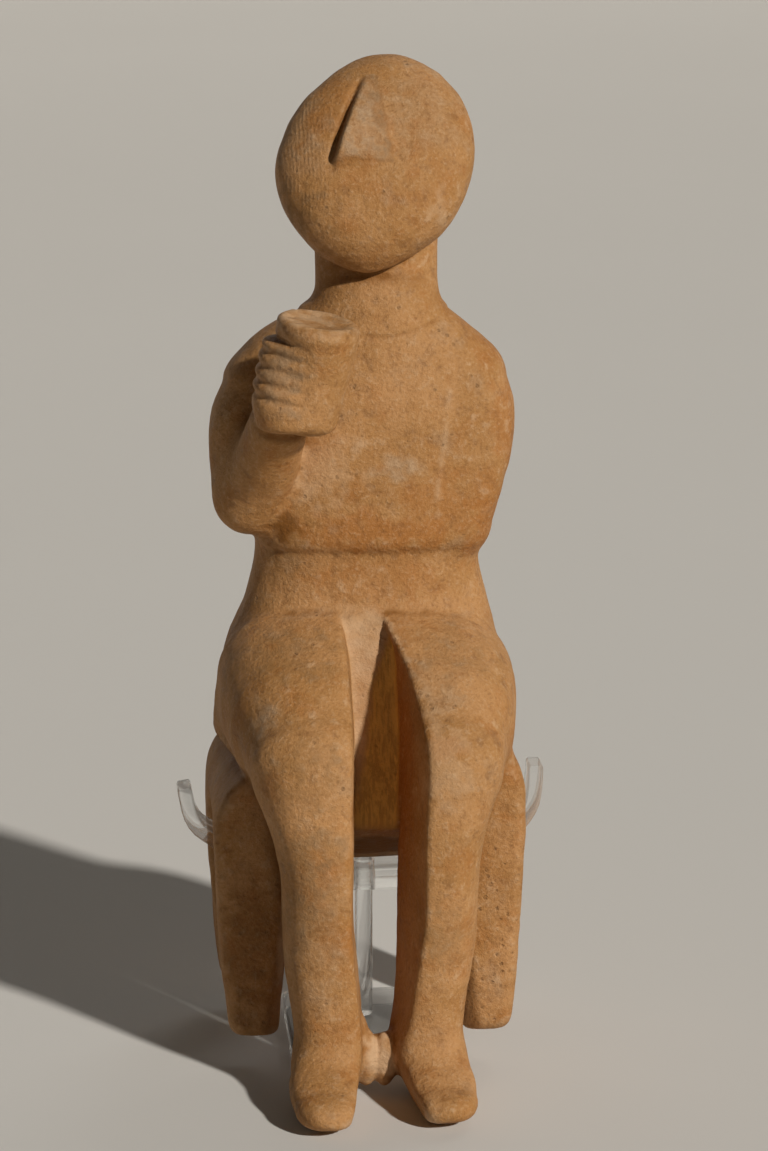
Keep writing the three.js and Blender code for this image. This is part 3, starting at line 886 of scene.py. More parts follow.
@dataclass(frozen=True)
class Carver:
    """Reads the zero level of a field as a mesh of quads.

    Space is a lattice. A cell that the level crosses gets one point, the mean of the crossings on its
    edges, and every lattice edge that is crossed gets the quad of the four cells around it. Blocks of
    cells that lie clear of the level are skipped. The points then slide along the slope onto the level.
    """

    cell: float = 0.62
    block: int = 4
    slides: int = 2
    margin: float = 1.4
    probes: float = 6.0
    longest: float = 0.3

    def lattice(self, distance: Field, low: Array, high: Array) -> Array:
        """Field values on the lattice, read only in the blocks that the level may cross.

        Args:
            distance: The field.
            low: Lowest corner.
            high: Highest corner.

        Returns:
            Values, one for each lattice point.
        """
        width = self.cell * self.block
        counts = np.ceil((high - low) / width).astype(int)
        index = np.stack(np.meshgrid(*(np.arange(count) for count in counts), indexing="ij"), axis=-1)
        centres = low + (index.reshape(-1, 3) + 0.5) * width - self.cell / 2
        rough = distance(centres)
        values = np.repeat(rough[:, None], self.block**3, axis=1)
        crossed = np.abs(rough) < width * self.margin
        inner = np.stack(np.meshgrid(*(np.arange(self.block),) * 3, indexing="ij"), axis=-1).reshape(-1, 3)
        corners = low + index.reshape(-1, 3)[crossed] * width
        samples = (corners[:, None, :] + inner[None] * self.cell).reshape(-1, 3)
        values[crossed] = distance(samples).reshape(-1, self.block**3)
        shaped = values.reshape(*counts, *(self.block,) * 3).transpose(0, 3, 1, 4, 2, 5)
        return shaped.reshape(counts * self.block)

    def surface(self, distance: Field, low: Array, high: Array) -> tuple[Array, Array]:
        """The level's points and quads.

        Args:
            distance: The field.
            low: Lowest corner of the space.
            high: Highest corner of the space.

        Returns:
            Points in millimetres and quads that face outwards.
        """
        values = self.lattice(distance, low, high)
        shape = np.array(values.shape) - 1
        inside = values < 0
        offsets = np.stack(np.meshgrid((0, 1), (0, 1), (0, 1), indexing="ij"), axis=-1).reshape(-1, 3)
        stack = [inside[a : a + shape[0], b : b + shape[1], c : c + shape[2]] for a, b, c in offsets]
        filled = np.sum(stack, axis=0)
        cells = np.argwhere((filled > 0) & (filled < len(offsets)))
        corner = np.stack([values[tuple((cells + offset).T)] for offset in offsets], axis=1)
        total, crossings = np.zeros((len(cells), 3)), np.zeros(len(cells))
        pairs = [(a, b) for a in range(len(offsets)) for b in range(a + 1, len(offsets))]
        for a, b in pairs:
            if np.abs(offsets[a] - offsets[b]).sum() != 1:
                continue
            crossed = (corner[:, a] < 0) != (corner[:, b] < 0)
            share = corner[:, a] / np.where(crossed, corner[:, a] - corner[:, b], 1.0)
            place = offsets[a] + share[:, None] * (offsets[b] - offsets[a])
            total += np.where(crossed[:, None], place, 0.0)
            crossings += crossed
        points = low + (cells + total / crossings[:, None]) * self.cell
        number = np.full(shape, -1)
        number[tuple(cells.T)] = np.arange(len(cells))
        quads = np.concatenate([self.quads(inside, number, axis) for axis in range(3)])
        return self.slide(distance, points), quads

    def slide(self, distance: Field, points: Array) -> Array:
        """Moves points along the field's slope onto its zero level.

        Args:
            distance: The field.
            points: Points near the level.

        Returns:
            Points on the level.
        """
        for _ in range(self.slides):
            slope = slope_of(distance, points, self.cell / self.probes)
            move = distance(points)[:, None] / np.sum(slope**2, axis=1)[:, None]
            points = points - np.clip(move, -self.longest, self.longest) * slope
        return points

    @staticmethod
    def refine(points: Array, quads: Array, chosen: Array) -> tuple[Array, list[list[int]]]:
        """Splits chosen quads in four, and lets their neighbours take up the new points on shared edges.

        A chosen quad gets a point at the middle of each edge and one at its own middle. A neighbour keeps
        its corners and has the middles of its split edges between them.

        Args:
            points: Points of the mesh.
            quads: Quads of point numbers.
            chosen: Which quads are split.

        Returns:
            All points and all faces.
        """
        ends = np.sort(np.stack([quads, np.roll(quads, -1, axis=1)], axis=-1), axis=-1).reshape(-1, 2)
        key, edge = np.unique(ends[:, 0] * len(points) + ends[:, 1], return_inverse=True)
        edge = edge.reshape(-1, 4)
        split = np.zeros(len(key), bool)
        split[edge[chosen]] = True
        number = np.full(len(key), -1)
        number[split] = len(points) + np.arange(split.sum())
        pairs = np.stack([key[split] // len(points), key[split] % len(points)], axis=1)
        centre = len(points) + split.sum() + np.arange(chosen.sum())
        grown = np.concatenate([points, points[pairs].mean(axis=1), points[quads[chosen]].mean(axis=1)])
        middle = number[edge]
        inner, ring = quads[chosen], middle[chosen]
        small = [np.stack([inner[:, n], ring[:, n], centre, ring[:, n - 1]], axis=1) for n in range(4)]
        padded = np.stack([quads[~chosen], middle[~chosen]], axis=-1).reshape(-1, 8)
        touched = (padded < 0).sum(axis=1) < 4
        plain = padded[~touched][:, ::2]
        faces = np.concatenate([plain, *small]).tolist()
        return grown, faces + [row[row >= 0].tolist() for row in padded[touched]]

    @staticmethod
    def quads(inside: Array, number: Array, axis: int) -> Array:
        """Quads around the crossed lattice edges of one direction.

        Args:
            inside: Which lattice points lie in the stone.
            number: Point number of each cell.
            axis: Direction of the edges.

        Returns:
            Quads of point numbers.
        """
        start, end = [slice(None)] * 3, [slice(None)] * 3
        start[axis], end[axis] = slice(None, -1), slice(1, None)
        leaves = inside[tuple(start)] & ~inside[tuple(end)]
        enters = ~inside[tuple(start)] & inside[tuple(end)]
        one, two = np.eye(3, dtype=int)[(axis + 1) % 3], np.eye(3, dtype=int)[(axis + 2) % 3]
        rings = []
        for mask, turn in ((leaves, 1), (enters, -1)):
            edges = np.argwhere(mask)
            around = [edges - one - two, edges - two, edges, edges - one][::turn]
            rings.append(np.stack([number[tuple(cell.T)] for cell in around], axis=1))
        return np.concatenate(rings)


class Grain:
    """Repeatable gradient noise: random slopes at the corners of a lattice, eased between them."""

    COUNT = 256
    STRENGTH = 1.6
    LAYER_SHIFT = 17.3

    def __init__(self, seed: int) -> None:
        """Draws the slopes and the order in which corners take them.

        Args:
            seed: Number that the draw starts from.
        """
        draw = np.random.default_rng(seed)
        slopes = draw.normal(size=(self.COUNT, 3))
        self.slopes = slopes / np.linalg.norm(slopes, axis=1)[:, None]
        self.order = draw.permutation(self.COUNT)

    def at(self, points: Array, size: float) -> Array:
        """Noise values at the points.

        Args:
            points: Points in millimetres.
            size: Width of the noise's lattice.

        Returns:
            Values of about -1 to 1.
        """
        scaled = points / size
        base = np.floor(scaled).astype(int)
        part = scaled - base
        ease = part**3 * (part * (part * 6 - 15) + 10)
        result = np.zeros(len(points))
        for corner in np.ndindex(2, 2, 2):
            key = base + np.array(corner)
            pick = np.zeros(len(points), int)
            for column in key.T:
                pick = self.order[(pick + column) % self.COUNT]
            lean = np.sum(self.slopes[pick] * (part - corner), axis=1)
            weight = np.where(np.array(corner) == 1, ease, 1 - ease).prod(axis=1)
            result += lean * weight
        return result * self.STRENGTH

    def layered(self, points: Array, size: float, layers: int) -> Array:
        """Sum of noises, each half as wide and half as strong as the one before.

        Args:
            points: Points in millimetres.
            size: Width of the first layer.
            layers: Number of layers.

        Returns:
            Values of about -1 to 1.
        """
        shifted = [points + self.LAYER_SHIFT * layer for layer in range(layers)]
        return sum(self.at(moved, size / 2**layer) / 2**layer for layer, moved in enumerate(shifted))


def make_object(name: str, points: Array, faces: Array | list, material: Finish) -> Piece:
    """A smooth-shaded mesh object at the origin.

    Args:
        name: Name of the piece.
        points: Points in metres.
        faces: Faces of point numbers.
        material: Its finish.

    Returns:
        The object.
    """
    mesh = bpy.data.meshes.new(name)
    mesh.from_pydata(points.tolist(), [], faces.tolist() if isinstance(faces, np.ndarray) else faces)
    mesh.polygons.foreach_set("use_smooth", np.ones(len(mesh.polygons), bool))
    mesh.materials.append(material)
    mesh.update()
    piece = bpy.data.objects.new(name, mesh)
    bpy.context.scene.collection.objects.link(piece)
    return piece


class Board:
    """A material's node board, with short calls that add a node and wire its inputs."""

    def __init__(self, name: str) -> None:
        """Makes an empty material.

        Args:
            name: The material's name.
        """
        self.material = bpy.data.materials.new(name)
        self.material.use_nodes = True
        self.tree = self.material.node_tree
        self.tree.nodes.clear()

    def node(self, kind: str, inputs: dict, **settings: object) -> bpy.types.Node:
        """Adds a node.

        Args:
            kind: Blender's name of the node type.
            inputs: Values or sockets by input name or number.
            **settings: The node's own properties.

        Returns:
            The node.
        """
        made = self.tree.nodes.new(kind)
        for key, value in settings.items():
            setattr(made, key, value)
        for key, value in inputs.items():
            if isinstance(value, Socket):
                self.tree.links.new(value, made.inputs[key])
            else:
                made.inputs[key].default_value = value
        return made

    def noise(self, place: Socket, size: float, detail: float, rough: float) -> Socket:
        """Noise whose features are about size metres wide."""
        inputs = {"Vector": place, "Scale": 1.0 / size, "Detail": detail, "Roughness": rough}
        return self.node("ShaderNodeTexNoise", inputs).outputs["Fac"]

    def span(self, value: Socket, limits: Span) -> Socket:
        """A value's stretch between the first two limits, mapped smoothly to the last two.

        Args:
            value: The value to map.
            limits: Low, high, result at low and result at high.

        Returns:
            The mapped value.
        """
        low, high, start, end = limits
        inputs = {"Value": value, "From Min": low, "From Max": high, "To Min": start, "To Max": end}
        return self.node("ShaderNodeMapRange", inputs, interpolation_type="SMOOTHSTEP").outputs["Result"]

    def sum(self, first: object, second: object, kind: str = "ADD") -> Socket:
        """Two values put together by a sum, product or other operation."""
        return self.node("ShaderNodeMath", {0: first, 1: second}, operation=kind).outputs[0]

    def streaks(self, place: Socket, turn: Vec, wide: float, long: float) -> Socket:
        """Noise drawn out into streaks of a width and length, along Z before it is turned.

        Args:
            place: Object coordinates.
            turn: Angles about X, Y and Z, in radians.
            wide: Width of a streak, in metres.
            long: Length of a streak, in metres.

        Returns:
            The noise, from 0 to 1.
        """
        inputs = {"Vector": place, "Rotation": turn, "Scale": (1.0 / wide, 1.0 / wide, 1.0 / long)}
        drawn = self.node("ShaderNodeMapping", inputs).outputs["Vector"]
        noise = self.node("ShaderNodeTexNoise", {"Vector": drawn, "Scale": 1.0, "Detail": 2.0})
        return noise.outputs["Fac"]

    def mask(self, name: str) -> Socket:
        """A mask that the mesh carries as an attribute."""
        return self.node("ShaderNodeAttribute", {}, attribute_name=name).outputs["Fac"]

    def broken(self, name: str, noise: Socket, limits: Span) -> Socket:
        """A mask broken up by a noise."""
        return self.sum(self.span(noise, limits), self.mask(name), "MULTIPLY")

    def finish(self, shader: dict) -> Finish:
        """Closes the board with a surface shader of the given inputs, and hands out the material.

        Args:
            shader: Values or sockets by the shader's input names.

        Returns:
            The material.
        """
        surface = self.node("ShaderNodeBsdfPrincipled", shader).outputs["BSDF"]
        self.node("ShaderNodeOutputMaterial", {"Surface": surface})
        return self.material

    def blend(self, share: object, first: object, second: object, kind: str = "MIX") -> Socket:
        """Two colours mixed by a share."""
        inputs = {0: share, 6: first, 7: second}
        return self.node("ShaderNodeMix", inputs, data_type="RGBA", blend_type=kind).outputs[2]


class Tone(Enum):
    """Tones that patches of the stone take, each a mask that the mesh carries; some carry painted light and
    painted shade.
    """

    GREY = "grey"
    OCHRE = "ochre"
    # Pale stone: breaks and worn spots, and patches of painted light on lit faces.
    FRESH_AND_LIT = "fresh_and_lit"
    PITTED = "pitted"
    TOOLED = "tooled"
    # Smoky patches, and painted shadow on the stool leg and under the elbow.
    SMOKE = "smoke_and_shade"
    # Darker patches: painted shade under the seat and in the lap crease, soil and painted shadow under the
    # elbow, a line round the nose.
    SHADED_AND_SOILED = "darkened"
    PAINTED_BOUNCE = "painted_bounce"


class Hue(Enum):
    """The stone's colours, in linear light."""

    TAN = (0.400, 0.197, 0.063, 1.0)
    ROSE = (0.470, 0.240, 0.090, 1.0)
    OCHRE = (0.375, 0.148, 0.033, 1.0)
    BROWN = (0.175, 0.072, 0.020, 1.0)
    # Dark brown for soil and for painted shade in recesses.
    SOIL_AND_SHADE = (0.205, 0.078, 0.011, 1.0)
    GREY = (0.385, 0.248, 0.140, 1.0)
    # Pale tone of breaks and worn stone, also used as painted light.
    FRESH_AND_LIT = (0.590, 0.385, 0.220, 1.0)
    # Smoky brown, also used for painted shadow.
    SMOKE = (0.190, 0.100, 0.034, 1.0)
    # Bright orange painted on the cleft's back face as warm bounce light.
    PAINTED_BOUNCE = (0.720, 0.400, 0.090, 1.0)


@dataclass(frozen=True)
class Mottle:
    """Spots of a hue that come in, up to a strength, as a noise goes from one value to another."""

    noise: str
    start: float
    end: float
    strength: float
    hue: Hue


@dataclass(frozen=True)
class Marble:
    """Weathered marble with a tan to brown patina.

    A span is (low, high, value at low, value at high). Sizes of noises are in metres.
    """

    noises: tuple[tuple[str, float, float, float], ...] = (
        ("broad", 0.012, 2.0, 0.55),
        ("clouds", 0.0052, 4.0, 0.6),
        ("middle", 0.0021, 5.0, 0.62),
        ("fine", 0.00055, 4.0, 0.7),
    )
    mottles: tuple[Mottle, ...] = (
        Mottle("clouds", 0.48, 0.30, 0.55, Hue.OCHRE),
        Mottle("clouds", 0.54, 0.72, 0.36, Hue.GREY),
        Mottle("middle", 0.47, 0.30, 0.40, Hue.BROWN),
        Mottle("middle", 0.54, 0.74, 0.50, Hue.FRESH_AND_LIT),
        Mottle("fine", 0.52, 0.28, 0.36, Hue.BROWN),
        Mottle("fine", 0.50, 0.74, 0.38, Hue.FRESH_AND_LIT),
        Mottle("strokes", 0.64, 0.80, 0.22, Hue.FRESH_AND_LIT),
    )
    stroke_turn: Vec = (0.5, 0.35, 0.2)
    stroke_size: Pair = (0.00022, 0.007)
    drip_size: Pair = (0.0004, 0.12)
    tool_scale: float = 560.0
    tool_sway: float = 9.0
    tool_detail: Pair = (3.0, 0.22)
    pit_scale: float = 700.0
    rose_span: Span = (0.38, 0.64, 0.0, 1.0)
    ochre_span: Span = (0.46, 0.28, 0.0, 0.6)
    grey_break: Span = (0.34, 0.62, 0.25, 1.0)
    smoke_and_shade_break: Span = (0.36, 0.60, 0.2, 1.0)
    tool_break: Span = (0.36, 0.58, 0.25, 1.0)
    tool_span: Span = (0.85, 0.10, 0.0, 0.28)
    soil_and_shade_break: Span = (0.3, 0.7, 0.75, 1.2)
    soil_and_shade_span: Span = (0.08, 0.72, 0.0, 0.88)
    drip_span: Span = (0.60, 0.38, 0.0, 0.35)
    worn_break: Span = (0.34, 0.62, 0.4, 1.2)
    worn_span: Span = (0.15, 0.7, 0.0, 0.5)
    pit_span: Span = (0.34, 0.10, 0.0, 1.0)
    pit_clouds: Span = (0.50, 0.66, 0.12, 0.8)
    pit_break: Span = (0.40, 0.62, 0.0, 1.0)
    gloss: Span = (0.3, 0.7, 0.56, 0.74)
    pit_dark: float = 0.4
    pit_depth: float = 1.3
    lumps: float = 1.6
    relief: Pair = (0.85, 0.00024)
    shine: float = 0.22

    def material(self) -> Finish:
        """The finish as a material, with its finest relief as bump.

        Returns:
            The material.
        """
        board = Board("marble")
        place = board.node("ShaderNodeTexCoord", {}).outputs["Object"]
        noise = {name: board.noise(place, *sizes) for name, *sizes in self.noises}
        noise["strokes"] = board.streaks(place, self.stroke_turn, *self.stroke_size)
        colour = self.patina(board, noise)
        colour, tooled = self.tooled(board, place, noise, colour)
        colour = self.darkened(board, place, noise, colour)
        hollow = self.pits(board, place, noise)
        colour = board.blend(board.sum(hollow, self.pit_dark, "MULTIPLY"), colour, Hue.BROWN.value)
        height = board.sum(noise["fine"], tooled, "SUBTRACT")
        height = board.sum(height, board.sum(hollow, self.pit_depth, "MULTIPLY"), "SUBTRACT")
        height = board.sum(height, board.sum(noise["middle"], self.lumps, "MULTIPLY"))
        strength, reach = self.relief
        bump = board.node("ShaderNodeBump", {"Height": height, "Strength": strength, "Distance": reach})
        return board.finish(
            {
                "Base Color": colour,
                "Roughness": board.span(noise["middle"], self.gloss),
                "Specular IOR Level": self.shine,
                "Normal": bump.outputs["Normal"],
            }
        )

    def patina(self, board: Board, noise: dict[str, Socket]) -> Socket:
        """The stone's colour: tan to rose, ochre and grey patches, mottles, and smoky patches, some of
        which are painted shadow.

        Args:
            board: The node board.
            noise: Its noises by name.

        Returns:
            The colour.
        """
        colour = board.blend(board.span(noise["broad"], self.rose_span), Hue.TAN.value, Hue.ROSE.value)
        ochre = board.span(noise["broad"], self.ochre_span)
        ochre = board.sum(ochre, board.mask(Tone.OCHRE.value), "MAXIMUM")
        colour = board.blend(ochre, colour, Hue.OCHRE.value)
        grey = board.broken(Tone.GREY.value, noise["middle"], self.grey_break)
        colour = board.blend(grey, colour, Hue.GREY.value)
        for spot in self.mottles:
            share = board.span(noise[spot.noise], (spot.start, spot.end, 0.0, spot.strength))
            colour = board.blend(share, colour, spot.hue.value)
        # Smoky patches, and painted shadow where the smoke-and-shade mask marks it.
        smoke_and_shade = board.broken(Tone.SMOKE.value, noise["middle"], self.smoke_and_shade_break)
        return board.blend(smoke_and_shade, colour, Hue.SMOKE.value)

    def tooled(
        self, board: Board, place: Socket, noise: dict[str, Socket], colour: Socket
    ) -> tuple[Socket, Socket]:
        """Adds the combed marks of a tool.

        Args:
            board: The node board.
            place: Object coordinates.
            noise: The noises by name.
            colour: The colour so far.

        Returns:
            The new colour and the marks' depth.
        """
        detail, detail_scale = self.tool_detail
        waves = {"Vector": place, "Scale": self.tool_scale, "Distortion": self.tool_sway}
        waves |= {"Detail": detail, "Detail Scale": detail_scale}
        marks = board.span(board.node("ShaderNodeTexWave", waves).outputs["Fac"], self.tool_span)
        broken = board.broken(Tone.TOOLED.value, noise["middle"], self.tool_break)
        marks = board.sum(marks, broken, "MULTIPLY")
        return board.blend(marks, colour, Hue.BROWN.value), marks

    def darkened(self, board: Board, place: Socket, noise: dict[str, Socket], colour: Socket) -> Socket:
        """Adds soil and painted shade in the recesses, painted warm bounce light with streaks on the back
        of the cleft, worn edges, and pale breaks and patches of painted light.

        Args:
            board: The node board.
            place: Object coordinates.
            noise: The noises by name.
            colour: The colour so far.

        Returns:
            The new colour.
        """
        # Painted shade: the more closed in a point is, the more it darkens to the soil-and-shade colour;
        # incised lines add some soil.
        recess = board.broken("recess", noise["middle"], self.soil_and_shade_break)
        colour = board.blend(board.span(recess, self.soil_and_shade_span), colour, Hue.SOIL_AND_SHADE.value)
        # Painted warm bounce light: the cleft's back face in shade is painted bright orange, with brown
        # streaks.
        painted_bounce = board.mask(Tone.PAINTED_BOUNCE.value)
        colour = board.blend(painted_bounce, colour, Hue.PAINTED_BOUNCE.value)
        drips = board.span(board.streaks(place, (0.0, 0.0, 0.0), *self.drip_size), self.drip_span)
        colour = board.blend(board.sum(drips, painted_bounce, "MULTIPLY"), colour, Hue.BROWN.value)
        worn = board.broken("edge", noise["middle"], self.worn_break)
        colour = board.blend(board.span(worn, self.worn_span), colour, Hue.FRESH_AND_LIT.value)
        return board.blend(board.mask(Tone.FRESH_AND_LIT.value), colour, Hue.FRESH_AND_LIT.value)

    def pits(self, board: Board, place: Socket, noise: dict[str, Socket]) -> Socket:
        """Depth of the pits: round hollows, in the pitted patches and here and there elsewhere.

        Args:
            board: The node board.
            place: Object coordinates.
            noise: The noises by name.

        Returns:
            Depths from 0 to 1.
        """
        cells = {"Vector": place, "Scale": self.pit_scale, "Randomness": 1.0}
        hollow = board.span(board.node("ShaderNodeTexVoronoi", cells).outputs["Distance"], self.pit_span)
        pitted = board.span(noise["clouds"], self.pit_clouds)
        pitted = board.sum(board.mask(Tone.PITTED.value), pitted, "MAXIMUM")
        pitted = board.sum(pitted, board.span(noise["fine"], self.pit_break), "MULTIPLY")
        return board.sum(hollow, pitted, "MULTIPLY")


@dataclass(frozen=True)
class Acrylic:
    """Clear polished acrylic."""

    tint: Colour = (0.97, 0.985, 0.98, 1.0)
    smudge: tuple[float, float, float] = (0.006, 3.0, 0.55)
    gloss: Span = (0.45, 0.75, 0.015, 0.07)
    bending: float = 1.49
    cover: float = 0.6

    def material(self) -> Finish:
        """The finish as a material, with light smudges in its gloss.

        Returns:
            The material.
        """
        board = Board("acrylic")
        place = board.node("ShaderNodeTexCoord", {}).outputs["Object"]
        return board.finish(
            {
                "Base Color": self.tint,
                "Roughness": board.span(board.noise(place, *self.smudge), self.gloss),
                "IOR": self.bending,
                "Transmission Weight": 1.0,
                "Alpha": self.cover,
            }
        )


@dataclass(frozen=True)
class Patch:
    """A ragged patch of another tone: full in the middle of an ellipsoid and gone at its skin."""

    tone: Tone
    centre: Vec
    radii: Vec
    strength: float
    ragged: float = 0.5
    ease: float = 0.6

    def share(self, points: Array, grain: Array) -> Array:
        """Strength at each point: an eased step of one less the ellipsoid's norm, shifted by the grain."""
        norm = np.linalg.norm((points - np.array(self.centre)) / np.array(self.radii), axis=1)
        return self.strength * rise(1.0 - norm + self.ragged * grain, 0.0, self.ease)


@dataclass(frozen=True)
class Incision:
    """A line cut into the stone along a few points: a groove with a bell-shaped section."""

    path: tuple[Vec, ...]
    width: float
    depth: float
    darkened: float = 1.0

    def share(self, points: Array) -> Array:
        """1 on the line, falling by the bell curve of the distance to its nearest stretch.

        Args:
            points: Points in millimetres.

        Returns:
            Shares from 0 to 1.
        """
        nearest = np.full(len(points), np.inf)
        for start, end in zip(np.array(self.path)[:-1], np.array(self.path)[1:]):
            along = end - start
            place = np.clip((points - start) @ along / (along @ along), 0.0, 1.0)
            gap = np.linalg.norm(points - start - place[:, None] * along, axis=1)
            nearest = np.minimum(nearest, gap)
        return np.exp(-((nearest / self.width) ** 2))


@dataclass
class Figurine:
    """The marble piece: the figure's surface with its wear."""

    figure: Figure = field(default_factory=Figure)
    finish: Marble = field(default_factory=Marble)
    carver: Carver = field(default_factory=Carver)
    low: Vec = (-24.9, -44.9, -0.8)
    high: Vec = (24.9, 18.6, 153.4)
    fine_zones: tuple[Ball, ...] = (
        Ball((-0.5, 0.5, 141.5), (7.5, 8.0, 9.5)),
        Ball((-11.0, -18.5, 110.5), (8.0, 6.0, 8.0)),
        Ball((0.2, -23.5, 6.0), (4.2, 4.0, 6.0)),
    )
    belly_crease: Pair = (78.4, 80.8)
    incisions: tuple[Incision, ...] = (
        Incision(
            (
                (-5.5, -2.2, 112.7),
                (-0.8, -3.2, 112.0),
                (2.5, -3.3, 111.5),
                (7.0, -2.7, 112.1),
                (12.0, 0.2, 113.9),
            ),
            0.35,
            0.28,
        ),
        Incision(((12.7, -3.3, 103.4), (11.7, -4.3, 95.2), (10.7, -4.9, 86.9)), 0.45, -0.10, -1.0),
        Incision(((-3.4, -5.5, 91.4), (-1.6, -5.5, 90.9)), 0.3, 0.2),
        Incision(((-22.1, -14.8, 27.1), (-14.5, -15.0, 29.2)), 0.3, 0.12, 0.5),
        Incision(((-7.5, -5.7, 88.2), (-4.2, -5.8, 87.5), (-1.0, -5.8, 87.9)), 0.22, 0.12, 0.7),
        Incision(((-4.0, -5.9, 85.0), (0.5, -5.9, 84.6), (4.0, -5.9, 85.1)), 0.22, 0.10, 0.5),
    )
    patches: tuple[Patch, ...] = (
        Patch(Tone.GREY, (-16.4, -21.8, 58.6), (2.8, 3.0, 3.4), 0.9),
        Patch(Tone.GREY, (5.0, -5.4, 92.1), (4.2, 3.0, 2.6), 0.7),
        Patch(Tone.GREY, (-9.0, -31.0, 30.0), (5.0, 6.0, 17.0), 0.45),
        Patch(Tone.GREY, (9.0, -22.0, 62.0), (7.0, 9.0, 5.0), 0.35),
        Patch(Tone.GREY, (-9.0, 1.0, 141.0), (7.5, 7.0, 12.0), 0.5),
        Patch(Tone.GREY, (8.0, 4.0, 143.0), (10.0, 10.0, 11.0), 0.4),
        Patch(Tone.FRESH_AND_LIT, (10.8, -0.5, 131.5), (3.2, 5.0, 4.0), 0.32, 0.9),
        Patch(Tone.SMOKE, (-10.5, -30.0, 36.0), (4.0, 5.0, 12.0), 0.40, 0.9),
        Patch(Tone.SMOKE, (9.5, -30.5, 27.0), (4.5, 5.0, 5.0), 0.35, 0.9),
        # Under the right elbow: soil and painted shadow of the elbow.
        Patch(Tone.SMOKE, (-17.0, -4.0, 79.0), (6.0, 7.0, 4.0), 0.45, 0.8),
        Patch(Tone.SMOKE, (-9.5, 0.0, 129.0), (6.0, 7.0, 6.5), 0.6, 0.8),
        # Painted shadow of the right calf on the stool's right front leg.
        Patch(Tone.SMOKE, (-19.0, -15.0, 20.0), (5.0, 3.0, 14.0), 0.45, 0.8),
        Patch(Tone.SMOKE, (-13.0, -13.0, 65.0), (10.0, 9.0, 6.0), 0.42, 0.8),
        Patch(Tone.SMOKE, (12.0, -13.0, 65.5), (9.0, 8.0, 5.0), 0.30, 0.8),
        Patch(Tone.OCHRE, (18.0, -1.0, 83.0), (6.0, 9.0, 6.0), 0.9),
        Patch(Tone.OCHRE, (1.0, -5.0, 75.0), (18.0, 5.0, 5.0), 0.35),
        Patch(Tone.OCHRE, (2.0, -5.0, 82.6), (19.0, 5.0, 4.4), 0.85),
        # Under the right elbow: soil and painted shadow of the elbow.
        Patch(Tone.SHADED_AND_SOILED, (-12.6, -4.5, 82.2), (3.4, 4.0, 4.2), 0.6, 0.8),
        # Painted shade on the ceiling of the hollow under the seat.
        Patch(Tone.SHADED_AND_SOILED, (0.0, -7.0, 33.5), (13.0, 7.2, 4.6), 1.0, 0.1),
        Patch(Tone.OCHRE, (22.0, 2.0, 98.0), (4.5, 9.0, 11.0), 0.7),
        Patch(Tone.OCHRE, (-17.0, -14.5, 20.0), (7.0, 3.0, 13.0), 0.7),
        Patch(Tone.OCHRE, (18.0, -14.0, 52.0), (6.0, 8.0, 9.0), 0.6),
        Patch(Tone.OCHRE, (2.6, -13.0, 48.0), (7.0, 15.0, 30.0), 1.0, 0.2),
        # Painted light on the web between the ankles.
        Patch(Tone.FRESH_AND_LIT, (-0.3, -26.6, 6.2), (3.1, 3.4, 5.4), 0.9),
        Patch(Tone.FRESH_AND_LIT, (-5.5, -41.5, 1.8), (2.6, 2.4, 1.8), 0.5),
        Patch(Tone.FRESH_AND_LIT, (6.5, -40.0, 1.6), (2.2, 2.2, 1.6), 0.7),
        Patch(Tone.PITTED, (18.5, -15.0, 22.0), (5.0, 4.0, 20.0), 1.0),
        Patch(Tone.PITTED, (-18.5, -15.0, 22.0), (5.0, 4.0, 18.0), 0.6),
        Patch(Tone.TOOLED, (-9.5, 0.5, 137.5), (7.5, 9.0, 15.0), 0.55),
        # Painted highlight on the inner edge of the stool's right front leg.
        Patch(Tone.FRESH_AND_LIT, (-13.4, -14.8, 17.0), (1.2, 1.8, 12.0), 0.7, 0.2),
        Patch(Tone.FRESH_AND_LIT, (-8.0, -17.0, 118.0), (7.5, 7.5, 1.8), 0.7, 0.5),
        Patch(Tone.FRESH_AND_LIT, (9.5, -29.0, 54.0), (5.0, 6.0, 8.0), 0.28, 0.9),
        # Paler stone and painted light on the chest below the cup.
        Patch(Tone.FRESH_AND_LIT, (-6.5, -5.0, 91.0), (6.0, 4.0, 7.0), 0.26, 0.9),
        Patch(Tone.GREY, (-13.5, -20.0, 109.5), (4.0, 4.5, 6.5), 0.8),
        Patch(Tone.SMOKE, (-13.5, -20.0, 109.5), (4.0, 4.5, 6.5), 0.35),
        Patch(Tone.SMOKE, (-10.5, -29.0, 52.0), (6.0, 6.0, 8.0), 0.35, 0.9),
    )
    drift_size: float = 11.0
    drift_reach: float = 0.2
    drift_seed: int = 20
    ripple_size: float = 3.2
    ripple_reach: float = 0.07
    ripple_seed: int = 30
    mask_seed: int = 3
    mask_size: float = 2.4
    mask_layers: int = 3
    normal_step: float = 0.15
    faint: float = 0.02
    nose_reach: float = 3.0
    nose_grey: float = 0.9
    nose_smoke: float = 0.5
    nose_line: float = 0.34
    lap_crease_shade: float = 0.5
    lap_ragged: Pair = (0.8, 0.6)
    lap_shift: float = 0.4
    lap_width: float = 1.2
    lap_reach: Pair = (0.9, 2.2)
    lap_ends: Pair = (12.0, 18.0)
    strip_pale: float = 0.75
    strip_ragged: Pair = (0.75, 0.5)
    line_pale: Pair = (0.26, 0.3)
    line_limits: Pair = (0.06, 0.4)
    fresh_and_lit_gain: float = 2.0
    fresh_and_lit_clears: float = 0.8
    ochre_clears: float = 0.6
    recess_probes: tuple[float, ...] = (0.8, 2.0, 5.0)
    line_soil: float = 0.35
    edge_depth: float = 1.3
    wear_seed: int = 7
    wear_layers: int = 2
    dressing_size: float = 8.0
